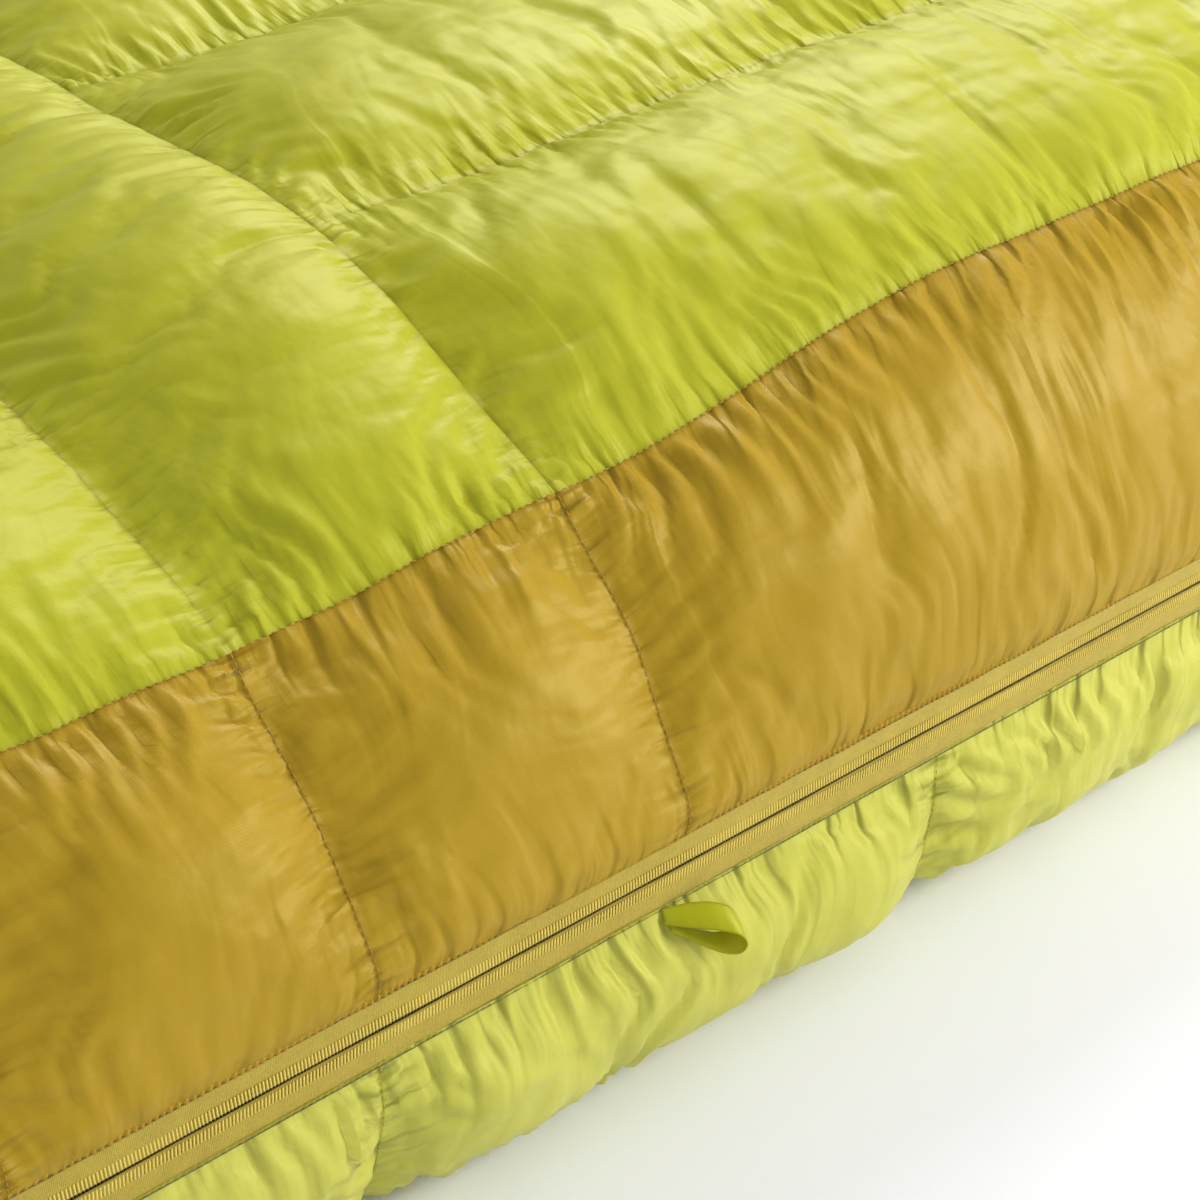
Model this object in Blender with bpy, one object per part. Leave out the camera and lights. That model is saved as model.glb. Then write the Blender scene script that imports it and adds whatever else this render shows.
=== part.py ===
"""Camp quilt: a down quilt with a lofty top layer hinged on a thinner base layer.

Metres, +Z up. The origin is on the ground under the middle of the quilt. The head end
is +Y, the foot end is -Y, the zip runs up the +X side and the fold is on the -X side.
Outlines are given as (inset, height) points: inset is measured inwards from the widest
line of the plan, which has straight sides, a straight head end and two round foot corners.
"""

import math

import bmesh
import bpy
from mathutils import Matrix, Vector

# Plan of the whole quilt
LENGTH = 2.00
HALF_WIDTH = 0.39
CORNER_RADIUS = 0.17
CORNER_STEPS = 8
SMALLEST_RADIUS = 0.004

# Heights of the zip band between the two layers
BAND_BOTTOM = 0.083
BAND_TOP = 0.109
ZIP_HEIGHT = (BAND_BOTTOM + BAND_TOP) / 2

# Fabric and running clearances
SKIN = 0.001
SEAM_GAP = 0.0004
WALL = 0.001

# Top layer outline, from the zip band up to the crown
BAND_INSET = 0.022
WIDEST_INSET = 0.004
BOUNDARY_INSET = 0.087
SIDE_BAND_OUTLINE = (
    (BAND_INSET, BAND_TOP + 2 * SEAM_GAP),
    (WIDEST_INSET, BAND_TOP + 0.033),
    (0.014, BAND_TOP + 0.069),
    (0.042, BAND_TOP + 0.095),
    (BOUNDARY_INSET, BAND_TOP + 0.118),
)
CROWN_OUTLINE = (
    (BOUNDARY_INSET, BAND_TOP + 0.118),
    (0.155, BAND_TOP + 0.149),
    (0.225, BAND_TOP + 0.167),
    (0.310, BAND_TOP + 0.176),
)

# Base layer outline, from the ground up to the zip band
FLOOR_INSET = 0.045
FLOOR_LIFT = 0.0005
BASE_SIDE_OUTLINE = (
    (FLOOR_INSET, FLOOR_LIFT),
    (0.020, 0.016),
    (0.011, 0.042),
    (BAND_INSET, BAND_BOTTOM - SEAM_GAP),
)

# Sewn chambers
ZONE_Y = -0.05
LEG_PITCH = 0.13
LEG_CHAMBERS = 6
CHEST_INNER_SEAM = 0.165
BASE_FIRST_SEAM = -0.70
BASE_PITCH = 0.26
BASE_SEAMS = 6
HEM_DEPTH = 0.010

# Zip: tapes, coils, stops and draft tube
TAPE_INSET = 0.0235
TAPE_THICKNESS = 0.001
COIL_GAP = 0.0003
COIL_DEPTH = 0.0027
COIL_HEIGHT = 0.0030
ZIP_SLOT = 0.0016
UPPER_ZIP_SETBACK = 0.076
LOWER_ZIP_SETBACK = 0.041
LOWER_STOP_SETBACK = 0.051
STOP_LENGTH = 0.003
DRAFT_INSET = 0.0725
DRAFT_HALF_WIDTH = 0.0225
DRAFT_GAP = 0.0008
DRAFT_SETBACK = 0.116
DRAFT_SIDES = 12

# Slider and its two pulls
SLIDER_SETBACK = 0.062
SLIDER_LENGTH = 0.011
SLIDER_HALF_HEIGHT = 0.0055
SLIDER_PLATE = 0.0012
SLIDER_CLEARANCE = 0.0005
POST_LENGTH = 0.003
POST_WIDTH = 0.0010
BAIL_WIDTH = 0.0016
BAIL_BAR = 0.0012
BAIL_LEG = 0.0014
BAIL_SPAN = 0.0084
PULL_CLEARANCE = 0.0006
PULL_THICKNESS = 0.0014
PULL_WIDTH = 0.007
PULL_CORNER = 0.0028
PULL_EYE_WIDTH = 0.003
PULL_EYE_LENGTH = 0.0047
OUTER_PULL_LENGTH = 0.026
INNER_PULL_LENGTH = 0.016

# Pad loops
LOOP_Y = -0.05
LOOP_WIDTH = 0.026
LOOP_HALF_DROP = 0.012
LOOP_HALF_DEPTH = 0.0045
LOOP_RIBBON = 0.001
LOOP_GAP = 0.0005
LOOP_SIDES = 16

HALF_LENGTH = LENGTH / 2
HEAD_END = HALF_LENGTH - WIDEST_INSET
HEAD_SKIN_END = HEAD_END - HEM_DEPTH
CHAMBER_END = HEAD_SKIN_END - SEAM_GAP
UPPER_ZIP_END = HEAD_END - UPPER_ZIP_SETBACK
LOWER_ZIP_END = HEAD_END - LOWER_ZIP_SETBACK
LOWER_STOP_Y = HEAD_END - LOWER_STOP_SETBACK
DRAFT_END = HEAD_END - DRAFT_SETBACK
SLIDER_Y = HEAD_END - SLIDER_SETBACK
CORNER_Y = CORNER_RADIUS - HALF_LENGTH
TAPE_OUTER_X = HALF_WIDTH - TAPE_INSET
TAPE_INNER_X = TAPE_OUTER_X - TAPE_THICKNESS
COIL_OUTER_X = TAPE_INNER_X - COIL_GAP
COIL_INNER_X = COIL_OUTER_X - COIL_DEPTH
FOLD_X = -(TAPE_OUTER_X + TAPE_INNER_X) / 2
TOP_FLOOR = BAND_TOP + SEAM_GAP
BASE_ROOF = BAND_BOTTOM - SEAM_GAP

FINISHES = {
    "lime_nylon": ((0.56, 0.66, 0.07, 1.0), 0.32, 0.0),
    "ochre_nylon": ((0.46, 0.28, 0.03, 1.0), 0.34, 0.0),
    "liner_nylon": ((0.30, 0.31, 0.26, 1.0), 0.55, 0.0),
    "down_fill": ((0.80, 0.79, 0.75, 1.0), 0.95, 0.0),
    "baffle_mesh": ((0.72, 0.72, 0.70, 1.0), 0.85, 0.0),
    "zip_tape": ((0.50, 0.36, 0.06, 1.0), 0.80, 0.0),
    "zip_coil": ((0.55, 0.42, 0.10, 1.0), 0.40, 0.0),
    "slider_metal": ((0.20, 0.20, 0.21, 1.0), 0.35, 0.9),
    "pull_metal": ((0.35, 0.35, 0.36, 1.0), 0.30, 0.9),
    "ribbon": ((0.42, 0.48, 0.03, 1.0), 0.45, 0.0),
}


def clear_scene():
    for obj in list(bpy.data.objects):
        bpy.data.objects.remove(obj, do_unlink=True)


def finish_for(node, finish):
    """A Principled material of the node's own in one of the named finishes."""
    colour, roughness, metallic = FINISHES[finish]
    material = bpy.data.materials.new(f"{node}_{finish}")
    material.use_nodes = True
    shader = material.node_tree.nodes["Principled BSDF"]
    shader.inputs["Base Color"].default_value = colour
    shader.inputs["Roughness"].default_value = roughness
    shader.inputs["Metallic"].default_value = metallic
    material.diffuse_color = colour
    return material


def empty_at(name, place):
    marker = bpy.data.objects.new(name, None)
    marker.empty_display_size = 0.05
    marker.location = place
    bpy.context.scene.collection.objects.link(marker)
    return marker


def add_piece(name, bm, finish, parent=None, smooth=False):
    """Turns a bmesh in world coordinates into a named object, which may hang on an empty."""
    bmesh.ops.recalc_face_normals(bm, faces=bm.faces)
    mesh = bpy.data.meshes.new(name)
    bm.to_mesh(mesh)
    bm.free()
    if smooth:
        mesh.shade_smooth()
        mesh.set_sharp_from_angle(angle=math.radians(40))
    mesh.materials.append(finish_for(name, finish))
    piece = bpy.data.objects.new(name, mesh)
    bpy.context.scene.collection.objects.link(piece)
    if parent:
        piece.parent = parent
        piece.matrix_parent_inverse = Matrix.Translation(-parent.location)
    return piece


# --- The plan path, which runs from the head down the zip side, round the foot and back ---


def side_station(side, y):
    return ("side", side, y)


def corner_stations(side):
    """Stations round one foot corner, in the path's direction of travel."""
    turns = [math.radians(90 * k / CORNER_STEPS) for k in range(CORNER_STEPS + 1)]
    if side < 0:
        turns.reverse()
    return [("corner", side, turn) for turn in turns]


def plan_path(zip_end, fold_end):
    """Stations from zip_end on the zip side, round the foot, to fold_end on the fold side."""
    path = [side_station(1, zip_end)] + corner_stations(1) + corner_stations(-1)
    if fold_end is not None:
        path.append(side_station(-1, fold_end))
    return path


def place(station, inset, height):
    """World point of a station at this inset and height."""
    kind, side, value = station
    if kind == "side":
        return Vector((side * (HALF_WIDTH - inset), value, height))
    radius = max(CORNER_RADIUS - inset, SMALLEST_RADIUS)
    centre_x = HALF_WIDTH - inset - radius
    centre_y = inset + radius - HALF_LENGTH
    return Vector(
        (
            side * (centre_x + radius * math.cos(value)),
            centre_y - radius * math.sin(value),
            height,
        )
    )


def set_in(outline, depth):
    """The outline moved inwards, square to itself, by depth."""
    moved = []
    last = len(outline) - 1
    for i, (inset, height) in enumerate(outline):
        before = outline[max(i - 1, 0)]
        after = outline[min(i + 1, last)]
        along = Vector((after[0] - before[0], after[1] - before[1])).normalized()
        moved.append((inset + depth * along.y, height - depth * along.x))
    return moved


# --- Closed solids ---


def loft(sections):
    """One closed solid through a row of sections, each a closed loop of as many points."""
    bm = bmesh.new()
    loops = [[bm.verts.new(point) for point in section] for section in sections]
    count = len(loops[0])
    for low, high in zip(loops, loops[1:]):
        for i in range(count):
            j = (i + 1) % count
            bm.faces.new((low[i], low[j], high[j], high[i]))
    bm.faces.new(list(reversed(loops[0])))
    bm.faces.new(loops[-1])
    return bm


def sweep(outline, path):
    """A strip of this closed (inset, height) outline along the plan path."""
    return loft([[place(s, inset, z) for inset, z in outline] for s in path])


def cut(bm, point, normal):
    """Keeps what lies behind the plane, and closes the cut."""
    geometry = bm.verts[:] + bm.edges[:] + bm.faces[:]
    result = bmesh.ops.bisect_plane(
        bm, geom=geometry, plane_co=point, plane_no=normal, clear_outer=True
    )
    edges = [item for item in result["geom_cut"] if isinstance(item, bmesh.types.BMEdge)]
    if edges:
        bmesh.ops.edgeloop_fill(bm, edges=edges)
    return bm


def keep_between(bm, axis, low, high):
    """Keeps the part of a solid between two planes square to axis, 0 for X or 1 for Y."""
    normal = Vector((0, 0, 0))
    normal[axis] = 1
    if low is not None:
        cut(bm, normal * low, -normal)
    if high is not None:
        cut(bm, normal * high, normal)
    return bm


def rings(outline, head_y):
    path = plan_path(head_y, head_y)
    return [[place(s, inset, z) for s in path] for inset, z in outline]


def block(outline):
    """The full solid inside an outline, from the foot to beyond the head end."""
    return loft(rings(outline, HALF_LENGTH + HEM_DEPTH))


def slab(inset, low, high):
    return keep_between(block(((inset, low), (inset, high))), 1, None, HEAD_SKIN_END)


def bowl(outline):
    """A skin over the crown: the solid under the outline, hollowed from below."""
    inner = rings(set_in(outline, SKIN), HALF_LENGTH + HEM_DEPTH / 2)
    outer = rings(outline, HALF_LENGTH + HEM_DEPTH)
    return loft(list(reversed(inner)) + outer)


def cuboid(low, high):
    """A box between two corners."""
    ends = (low, high)
    turns = ((0, 0), (1, 0), (1, 1), (0, 1))
    return loft([[(ends[i][0], ends[j][1], end[2]) for i, j in turns] for end in ends])


def skin_strip(outline):
    """A skin of fabric thickness behind an outline, as a closed strip outline."""
    return list(outline) + list(reversed(set_in(outline, SKIN)))


def with_floor(outline, floor):
    """The outline with its first point dropped or raised to a level floor."""
    inset = outline[0][0]
    return [(inset, floor)] + [point for point in outline if point[1] > floor]


# --- Top layer ---


def top_block():
    """The room for down in the top layer."""
    outline = set_in(SIDE_BAND_OUTLINE + CROWN_OUTLINE[1:], SKIN + SEAM_GAP)
    return block(with_floor(outline, TOP_FLOOR + SKIN + SEAM_GAP))


def leg_seams():
    """Places along Y of the cross seams, from the chest zone towards the foot."""
    return [ZONE_Y - LEG_PITCH * k for k in range(LEG_CHAMBERS + 1)]


def chest_seams():
    boundary = HALF_WIDTH - BOUNDARY_INSET
    return [boundary, CHEST_INNER_SEAM, 0.0, -CHEST_INNER_SEAM, -boundary]


def chamber_margin():
    return WALL / 2 + SEAM_GAP


def side_band_edge():
    """The side band's outline, held back a seam's gap from the crown's edge."""
    inset, height = SIDE_BAND_OUTLINE[-1]
    return list(SIDE_BAND_OUTLINE[:-1]) + [(inset - SEAM_GAP, height - SEAM_GAP / 2)]


def make_top_skins(hinge):
    crown = keep_between(bowl(CROWN_OUTLINE), 1, None, ZONE_Y - SEAM_GAP / 2)
    add_piece("top_shell_legs", crown, "lime_nylon", hinge, smooth=True)
    crown = keep_between(bowl(CROWN_OUTLINE), 1, ZONE_Y + SEAM_GAP / 2, HEAD_SKIN_END)
    add_piece("top_shell_chest", crown, "lime_nylon", hinge, smooth=True)
    band = sweep(skin_strip(side_band_edge()), plan_path(HEAD_SKIN_END, HEAD_SKIN_END))
    add_piece("side_band", band, "ochre_nylon", hinge, smooth=True)
    liner_inset = BAND_INSET + SKIN + SEAM_GAP
    liner = slab(liner_inset, TOP_FLOOR, TOP_FLOOR + SKIN)
    add_piece("top_liner", liner, "liner_nylon", hinge)


def make_leg_chambers(hinge):
    seams = leg_seams()
    margin = chamber_margin()
    for k in range(LEG_CHAMBERS):
        fill = keep_between(top_block(), 1, seams[k + 1] + margin, seams[k] - margin)
        add_piece(f"leg_fill_{k + 1}", fill, "down_fill", hinge)
        wall = keep_between(top_block(), 1, seams[k + 1] - WALL / 2, seams[k + 1] + WALL / 2)
        add_piece(f"leg_baffle_{k + 1}", wall, "baffle_mesh", hinge)
    foot = keep_between(top_block(), 1, None, seams[-1] - margin)
    add_piece("foot_fill", foot, "down_fill", hinge)
    wall = keep_between(top_block(), 1, ZONE_Y - WALL / 2, ZONE_Y + WALL / 2)
    add_piece("zone_baffle", wall, "baffle_mesh", hinge)


def chest_strip(low, high):
    strip = keep_between(top_block(), 1, ZONE_Y + chamber_margin(), CHAMBER_END)
    return keep_between(strip, 0, low, high)


def make_chest_chambers(hinge):
    seams = chest_seams()
    margin = chamber_margin()
    side = chest_strip(seams[0] + margin, None)
    add_piece("chest_side_fill_zip", side, "down_fill", hinge)
    for k in range(len(seams) - 1):
        fill = chest_strip(seams[k + 1] + margin, seams[k] - margin)
        add_piece(f"chest_fill_{k + 1}", fill, "down_fill", hinge)
    side = chest_strip(None, seams[-1] - margin)
    add_piece("chest_side_fill_fold", side, "down_fill", hinge)
    for k, x in enumerate(seams):
        wall = chest_strip(x - WALL / 2, x + WALL / 2)
        add_piece(f"chest_baffle_{k + 1}", wall, "baffle_mesh", hinge)


def make_top_hem(hinge):
    outline = with_floor(SIDE_BAND_OUTLINE + CROWN_OUTLINE[1:], TOP_FLOOR)
    hem = keep_between(block(outline), 1, HEAD_SKIN_END + SEAM_GAP, HEAD_END)
    add_piece("top_head_hem", hem, "lime_nylon", hinge)


# --- Base layer ---


def base_block():
    outline = set_in(BASE_SIDE_OUTLINE, SKIN + SEAM_GAP)
    floor = SKIN + SEAM_GAP
    roof = BASE_ROOF - SKIN - SEAM_GAP
    inside = [point for point in outline if floor < point[1] < roof]
    return block([(outline[0][0], floor)] + inside + [(outline[-1][0], roof)])


def base_seams():
    """Places along Y of the base's cross seams, from the foot towards the head."""
    return [BASE_FIRST_SEAM + BASE_PITCH * k for k in range(BASE_SEAMS)]


def make_base_skins():
    floor = slab(FLOOR_INSET + SKIN + SEAM_GAP, 0.0, SKIN)
    add_piece("base_shell", floor, "lime_nylon")
    path = plan_path(HEAD_SKIN_END, HEAD_SKIN_END)
    side = sweep(skin_strip(BASE_SIDE_OUTLINE), path)
    add_piece("base_side", side, "lime_nylon", smooth=True)
    liner_inset = BAND_INSET + SKIN + SEAM_GAP
    liner = slab(liner_inset, BASE_ROOF - SKIN, BASE_ROOF)
    add_piece("base_liner", liner, "liner_nylon")


def make_base_chambers():
    seams = base_seams()
    margin = chamber_margin()
    lows = [None] + [y + margin for y in seams]
    highs = [y - margin for y in seams] + [CHAMBER_END]
    for k, (low, high) in enumerate(zip(lows, highs)):
        fill = keep_between(base_block(), 1, low, high)
        add_piece(f"base_fill_{k + 1}", fill, "down_fill")
    for k, y in enumerate(seams):
        wall = keep_between(base_block(), 1, y - WALL / 2, y + WALL / 2)
        add_piece(f"base_baffle_{k + 1}", wall, "baffle_mesh")


def make_base_hem():
    hem = keep_between(block(BASE_SIDE_OUTLINE), 1, HEAD_SKIN_END + SEAM_GAP, HEAD_END)
    add_piece("base_head_hem", hem, "lime_nylon")


def make_fold_gusset():
    """The strip of fabric that joins the layers along the fold and bends at its middle."""
    low = (-TAPE_OUTER_X, CORNER_Y + SEAM_GAP, BAND_BOTTOM)
    high = (-TAPE_INNER_X, HEAD_SKIN_END, BAND_TOP)
    add_piece("fold_gusset", cuboid(low, high), "ochre_nylon")


def loop_frame():
    """Seam point, direction down the base's side, and direction out of it, as (x, z)."""
    top = BASE_SIDE_OUTLINE[-1]
    below = BASE_SIDE_OUTLINE[-2]
    seam = Vector((HALF_WIDTH - top[0], top[1]))
    down = Vector((top[0] - below[0], below[1] - top[1])).normalized()
    return seam, down, Vector((-down.y, down.x))


def make_pad_loop(name, side):
    """A folded ribbon sewn into the seam under the zip, open from end to end along Y."""
    seam, down, out = loop_frame()
    centre = seam + down * (LOOP_HALF_DROP + LOOP_GAP) + out * (LOOP_HALF_DEPTH + LOOP_GAP)
    turns = [2 * math.pi * k / LOOP_SIDES for k in range(LOOP_SIDES)]

    def oval(shrink, y):
        points = []
        for turn in turns:
            across = out * ((LOOP_HALF_DEPTH - shrink) * math.cos(turn))
            along = down * ((LOOP_HALF_DROP - shrink) * math.sin(turn))
            point = centre + across + along
            points.append(Vector((side * point.x, y, point.y)))
        return points

    bm = bmesh.new()
    ends = (LOOP_Y - LOOP_WIDTH / 2, LOOP_Y + LOOP_WIDTH / 2)
    corners = ((0, ends[0]), (0, ends[1]), (LOOP_RIBBON, ends[1]), (LOOP_RIBBON, ends[0]))
    loops = [oval(shrink, y) for shrink, y in corners]
    rows = [[bm.verts.new(point) for point in loop] for loop in loops]
    for row, following in zip(rows, rows[1:] + rows[:1]):
        for i in range(LOOP_SIDES):
            j = (i + 1) % LOOP_SIDES
            bm.faces.new((row[i], row[j], following[j], following[i]))
    add_piece(name, bm, "ribbon", smooth=True)


# --- Zip ---


def band_outline(low, high, outer_x, inner_x):
    """A rectangle in (inset, height) between two distances from the middle."""
    outer = HALF_WIDTH - outer_x
    inner = HALF_WIDTH - inner_x
    return [(outer, low), (outer, high), (inner, high), (inner, low)]


def make_tape(word, edge, side, end, hinge):
    """One tape, from the slot to its sewn edge; side is 1 above the slot, -1 below it."""
    heights = sorted((ZIP_HEIGHT + side * ZIP_SLOT / 2, edge))
    outline = band_outline(heights[0], heights[1], TAPE_OUTER_X, TAPE_INNER_X)
    tape = sweep(outline, plan_path(end, None))
    add_piece(f"{word}_tape", tape, "zip_tape", hinge)


def coil_heights(side):
    slot = ZIP_HEIGHT + side * ZIP_SLOT / 2
    return sorted((slot, slot + side * COIL_HEIGHT))


def make_coil(word, side, end, hinge):
    low, high = coil_heights(side)
    outline = band_outline(low, high, COIL_OUTER_X, COIL_INNER_X)
    coil = sweep(outline, plan_path(end, None))
    add_piece(f"{word}_coil", coil, "zip_coil", hinge)


def make_stop(word, side, start, hinge):
    low, high = coil_heights(side)
    stop = cuboid((COIL_INNER_X, start, low), (COIL_OUTER_X, start + STOP_LENGTH, high))
    add_piece(f"{word}_stop", stop, "slider_metal", hinge)


def make_upper_zip(hinge):
    stop_y = UPPER_ZIP_END - STOP_LENGTH
    make_tape("upper", BAND_TOP, 1, UPPER_ZIP_END, hinge)
    make_coil("upper", 1, stop_y - COIL_GAP, hinge)
    make_stop("upper", 1, stop_y, hinge)


def make_lower_zip():
    make_tape("lower", BAND_BOTTOM, -1, LOWER_ZIP_END, None)
    make_coil("lower", -1, LOWER_STOP_Y - COIL_GAP, None)
    make_stop("lower", -1, LOWER_STOP_Y, None)


def make_draft_tube(hinge):
    half_height = (BAND_TOP - BAND_BOTTOM) / 2 + SEAM_GAP - DRAFT_GAP
    outline = []
    for k in range(DRAFT_SIDES):
        turn = 2 * math.pi * k / DRAFT_SIDES
        inset = DRAFT_INSET + DRAFT_HALF_WIDTH * math.cos(turn)
        outline.append((inset, ZIP_HEIGHT + half_height * math.sin(turn)))
    tube = sweep(outline, plan_path(DRAFT_END, None))
    add_piece("draft_tube", tube, "liner_nylon", hinge, smooth=True)


# --- Slider ---


def solid_modifier(piece, other, operation):
    other.hide_render = True
    other.display_type = "WIRE"
    modifier = piece.modifiers.new(other.name, "BOOLEAN")
    modifier.operation = operation
    modifier.object = other


def helper_box(name, low, high, parent):
    corners = zip(low, high)
    low, high = zip(*[sorted(pair) for pair in corners])
    return add_piece(name, cuboid(low, high), "slider_metal", parent)


def bail_boxes(face_x, out):
    """The three bars of a bail on the plate face at face_x; out is 1 or -1 along X."""
    inner = face_x + out * (2 * PULL_CLEARANCE + PULL_THICKNESS)
    outer = inner + out * BAIL_BAR
    sunk = face_x - out * SLIDER_PLATE / 2
    low_z = ZIP_HEIGHT - BAIL_WIDTH / 2
    high_z = ZIP_HEIGHT + BAIL_WIDTH / 2
    first = SLIDER_Y - BAIL_SPAN / 2
    last = SLIDER_Y + BAIL_SPAN / 2
    return (
        ((sunk, first, low_z), (outer, first + BAIL_LEG, high_z)),
        ((sunk, last - BAIL_LEG, low_z), (outer, last, high_z)),
        ((inner, first, low_z), (outer, last, high_z)),
    )


def slider_faces():
    """X of the slider's four plate faces, from the cavity side to the open side."""
    inner_near = COIL_INNER_X - SLIDER_CLEARANCE
    outer_near = TAPE_OUTER_X + SLIDER_CLEARANCE
    return inner_near - SLIDER_PLATE, inner_near, outer_near, outer_near + SLIDER_PLATE


def make_slider(runner):
    inner_far, inner_near, outer_near, outer_far = slider_faces()
    foot_end = SLIDER_Y - SLIDER_LENGTH / 2
    head_end = SLIDER_Y + SLIDER_LENGTH / 2
    low_z = ZIP_HEIGHT - SLIDER_HALF_HEIGHT
    high_z = ZIP_HEIGHT + SLIDER_HALF_HEIGHT
    coil_reach = ZIP_SLOT / 2 + COIL_HEIGHT + SLIDER_CLEARANCE
    flange_x = TAPE_INNER_X - SLIDER_CLEARANCE
    body = helper_box(
        "slider_body", (outer_near, foot_end, low_z), (outer_far, head_end, high_z), runner
    )
    parts = [
        ((inner_far, foot_end, low_z), (inner_near, head_end, high_z)),
        (
            (inner_far, head_end - POST_LENGTH, ZIP_HEIGHT - POST_WIDTH / 2),
            (outer_far - SLIDER_PLATE / 2, head_end - SEAM_GAP, ZIP_HEIGHT + POST_WIDTH / 2),
        ),
        ((inner_far, foot_end, ZIP_HEIGHT + coil_reach), (flange_x, head_end, high_z)),
        ((inner_far, foot_end, low_z), (flange_x, head_end, ZIP_HEIGHT - coil_reach)),
    ]
    parts += bail_boxes(outer_far, 1)
    parts += bail_boxes(inner_far, -1)
    for k, (low, high) in enumerate(parts):
        helper = helper_box(f"slider_part_{k + 1}", low, high, runner)
        solid_modifier(body, helper, "UNION")


def spans_thickness(edge):
    first, second = (v.co for v in edge.verts)
    return abs(first.x - second.x) > PULL_THICKNESS / 2


def make_pull(name, face_x, out, length, finish):
    """A flat tab whose eye turns on the bail; its origin is on its hinge axis."""
    axis_x = face_x + out * (PULL_CLEARANCE + PULL_THICKNESS / 2)
    origin = Vector((axis_x, SLIDER_Y, ZIP_HEIGHT))
    half = PULL_THICKNESS / 2
    tab = cuboid((-half, -length, -PULL_WIDTH / 2), (half, half, PULL_WIDTH / 2))
    free_end = [v for v in tab.verts if v.co.y < 0]
    corners = [e for e in tab.edges if set(e.verts) <= set(free_end) and spans_thickness(e)]
    bmesh.ops.bevel(
        tab, geom=corners, offset=PULL_CORNER, segments=4, profile=0.5, affect="EDGES"
    )
    piece = add_piece(name, tab, finish)
    piece.location = origin
    hole = cuboid(
        (-2 * half, -half - PULL_EYE_LENGTH, -PULL_EYE_WIDTH / 2),
        (2 * half, -half, PULL_EYE_WIDTH / 2),
    )
    cutter = add_piece(f"{name}_eye", hole, finish)
    cutter.location = origin
    solid_modifier(piece, cutter, "DIFFERENCE")


def main():
    clear_scene()
    hinge = empty_at("top_fold_axis", Vector((FOLD_X, 0.0, ZIP_HEIGHT)))
    runner = empty_at("slider_path", Vector((TAPE_OUTER_X, SLIDER_Y, ZIP_HEIGHT)))
    make_top_skins(hinge)
    make_leg_chambers(hinge)
    make_chest_chambers(hinge)
    make_top_hem(hinge)
    make_upper_zip(hinge)
    make_draft_tube(hinge)
    make_base_skins()
    make_base_chambers()
    make_base_hem()
    make_fold_gusset()
    make_lower_zip()
    make_pad_loop("pad_loop_zip", 1)
    make_pad_loop("pad_loop_fold", -1)
    make_slider(runner)
    inner_far, _, _, outer_far = slider_faces()
    make_pull("outer_pull", outer_far, 1, OUTER_PULL_LENGTH, "pull_metal")
    make_pull("inner_pull", inner_far, -1, INNER_PULL_LENGTH, "pull_metal")


main()
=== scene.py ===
"""Camp quilt: sewn nylon shells, down chambers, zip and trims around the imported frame."""

import math

import bpy
import numpy as np
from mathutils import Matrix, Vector


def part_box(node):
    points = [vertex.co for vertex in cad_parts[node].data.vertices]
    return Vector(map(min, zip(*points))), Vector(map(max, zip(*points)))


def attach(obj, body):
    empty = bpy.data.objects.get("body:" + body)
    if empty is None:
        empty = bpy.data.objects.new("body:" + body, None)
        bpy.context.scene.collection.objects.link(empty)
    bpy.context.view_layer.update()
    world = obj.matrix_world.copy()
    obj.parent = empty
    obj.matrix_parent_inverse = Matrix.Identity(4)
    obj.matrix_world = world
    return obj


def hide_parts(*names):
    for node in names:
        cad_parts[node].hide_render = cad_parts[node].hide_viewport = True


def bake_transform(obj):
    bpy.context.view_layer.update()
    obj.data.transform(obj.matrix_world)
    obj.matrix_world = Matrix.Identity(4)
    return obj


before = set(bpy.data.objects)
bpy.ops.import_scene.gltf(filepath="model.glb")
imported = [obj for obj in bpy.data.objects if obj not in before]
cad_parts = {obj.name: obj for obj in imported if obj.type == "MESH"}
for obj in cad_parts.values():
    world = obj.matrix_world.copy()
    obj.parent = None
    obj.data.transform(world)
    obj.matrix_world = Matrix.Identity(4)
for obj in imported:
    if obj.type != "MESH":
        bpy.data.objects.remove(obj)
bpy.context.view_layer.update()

# Plan: the foot corners' radius, and half width and ends from the frame's side band
CORNER_RADIUS = 0.17
SMALLEST_RADIUS = 0.004
WIDEST_INSET = 0.004
BAND_LOW, BAND_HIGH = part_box("side_band")
HALF_WIDTH = BAND_HIGH.x + WIDEST_INSET
FOOT_Y = BAND_LOW.y - (HALF_WIDTH - BAND_HIGH.x)
HEAD_Y = BAND_HIGH.y
CORNER_Y = FOOT_Y + CORNER_RADIUS
CORNER_X = HALF_WIDTH - CORNER_RADIUS

# Levels of the zip band between the two layers
UPPER_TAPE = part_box("upper_tape")
LOWER_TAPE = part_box("lower_tape")
BAND_TOP = UPPER_TAPE[1].z
BAND_BOTTOM = LOWER_TAPE[0].z
ZIP_Z = (UPPER_TAPE[0].z + LOWER_TAPE[1].z) / 2
TAPE_X = UPPER_TAPE[1].x
TAPE_INSET = HALF_WIDTH - TAPE_X

# Sewn chambers: each seam lies on the middle of its baffle
HALF_BAFFLE = 0.0005
ZONE_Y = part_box("zone_baffle")[0].y + HALF_BAFFLE
LEG_SEAMS = [ZONE_Y] + [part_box(f"leg_baffle_{k}")[0].y + HALF_BAFFLE for k in range(1, 7)]
CHEST_SEAMS = [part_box(f"chest_baffle_{k}")[0].x + HALF_BAFFLE for k in range(1, 6)]
BASE_SEAMS = [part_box(f"base_baffle_{k}")[0].y + HALF_BAFFLE for k in range(1, 7)]

# Cloth: the side of its squares in metres, and the frames that it is simulated for
GRID = 0.003
FRAMES = 20

SEAM_LAP = 0.0004
BOUNDARY_INSET = 0.0900
CROWN_HALF = HALF_WIDTH - BOUNDARY_INSET

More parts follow.
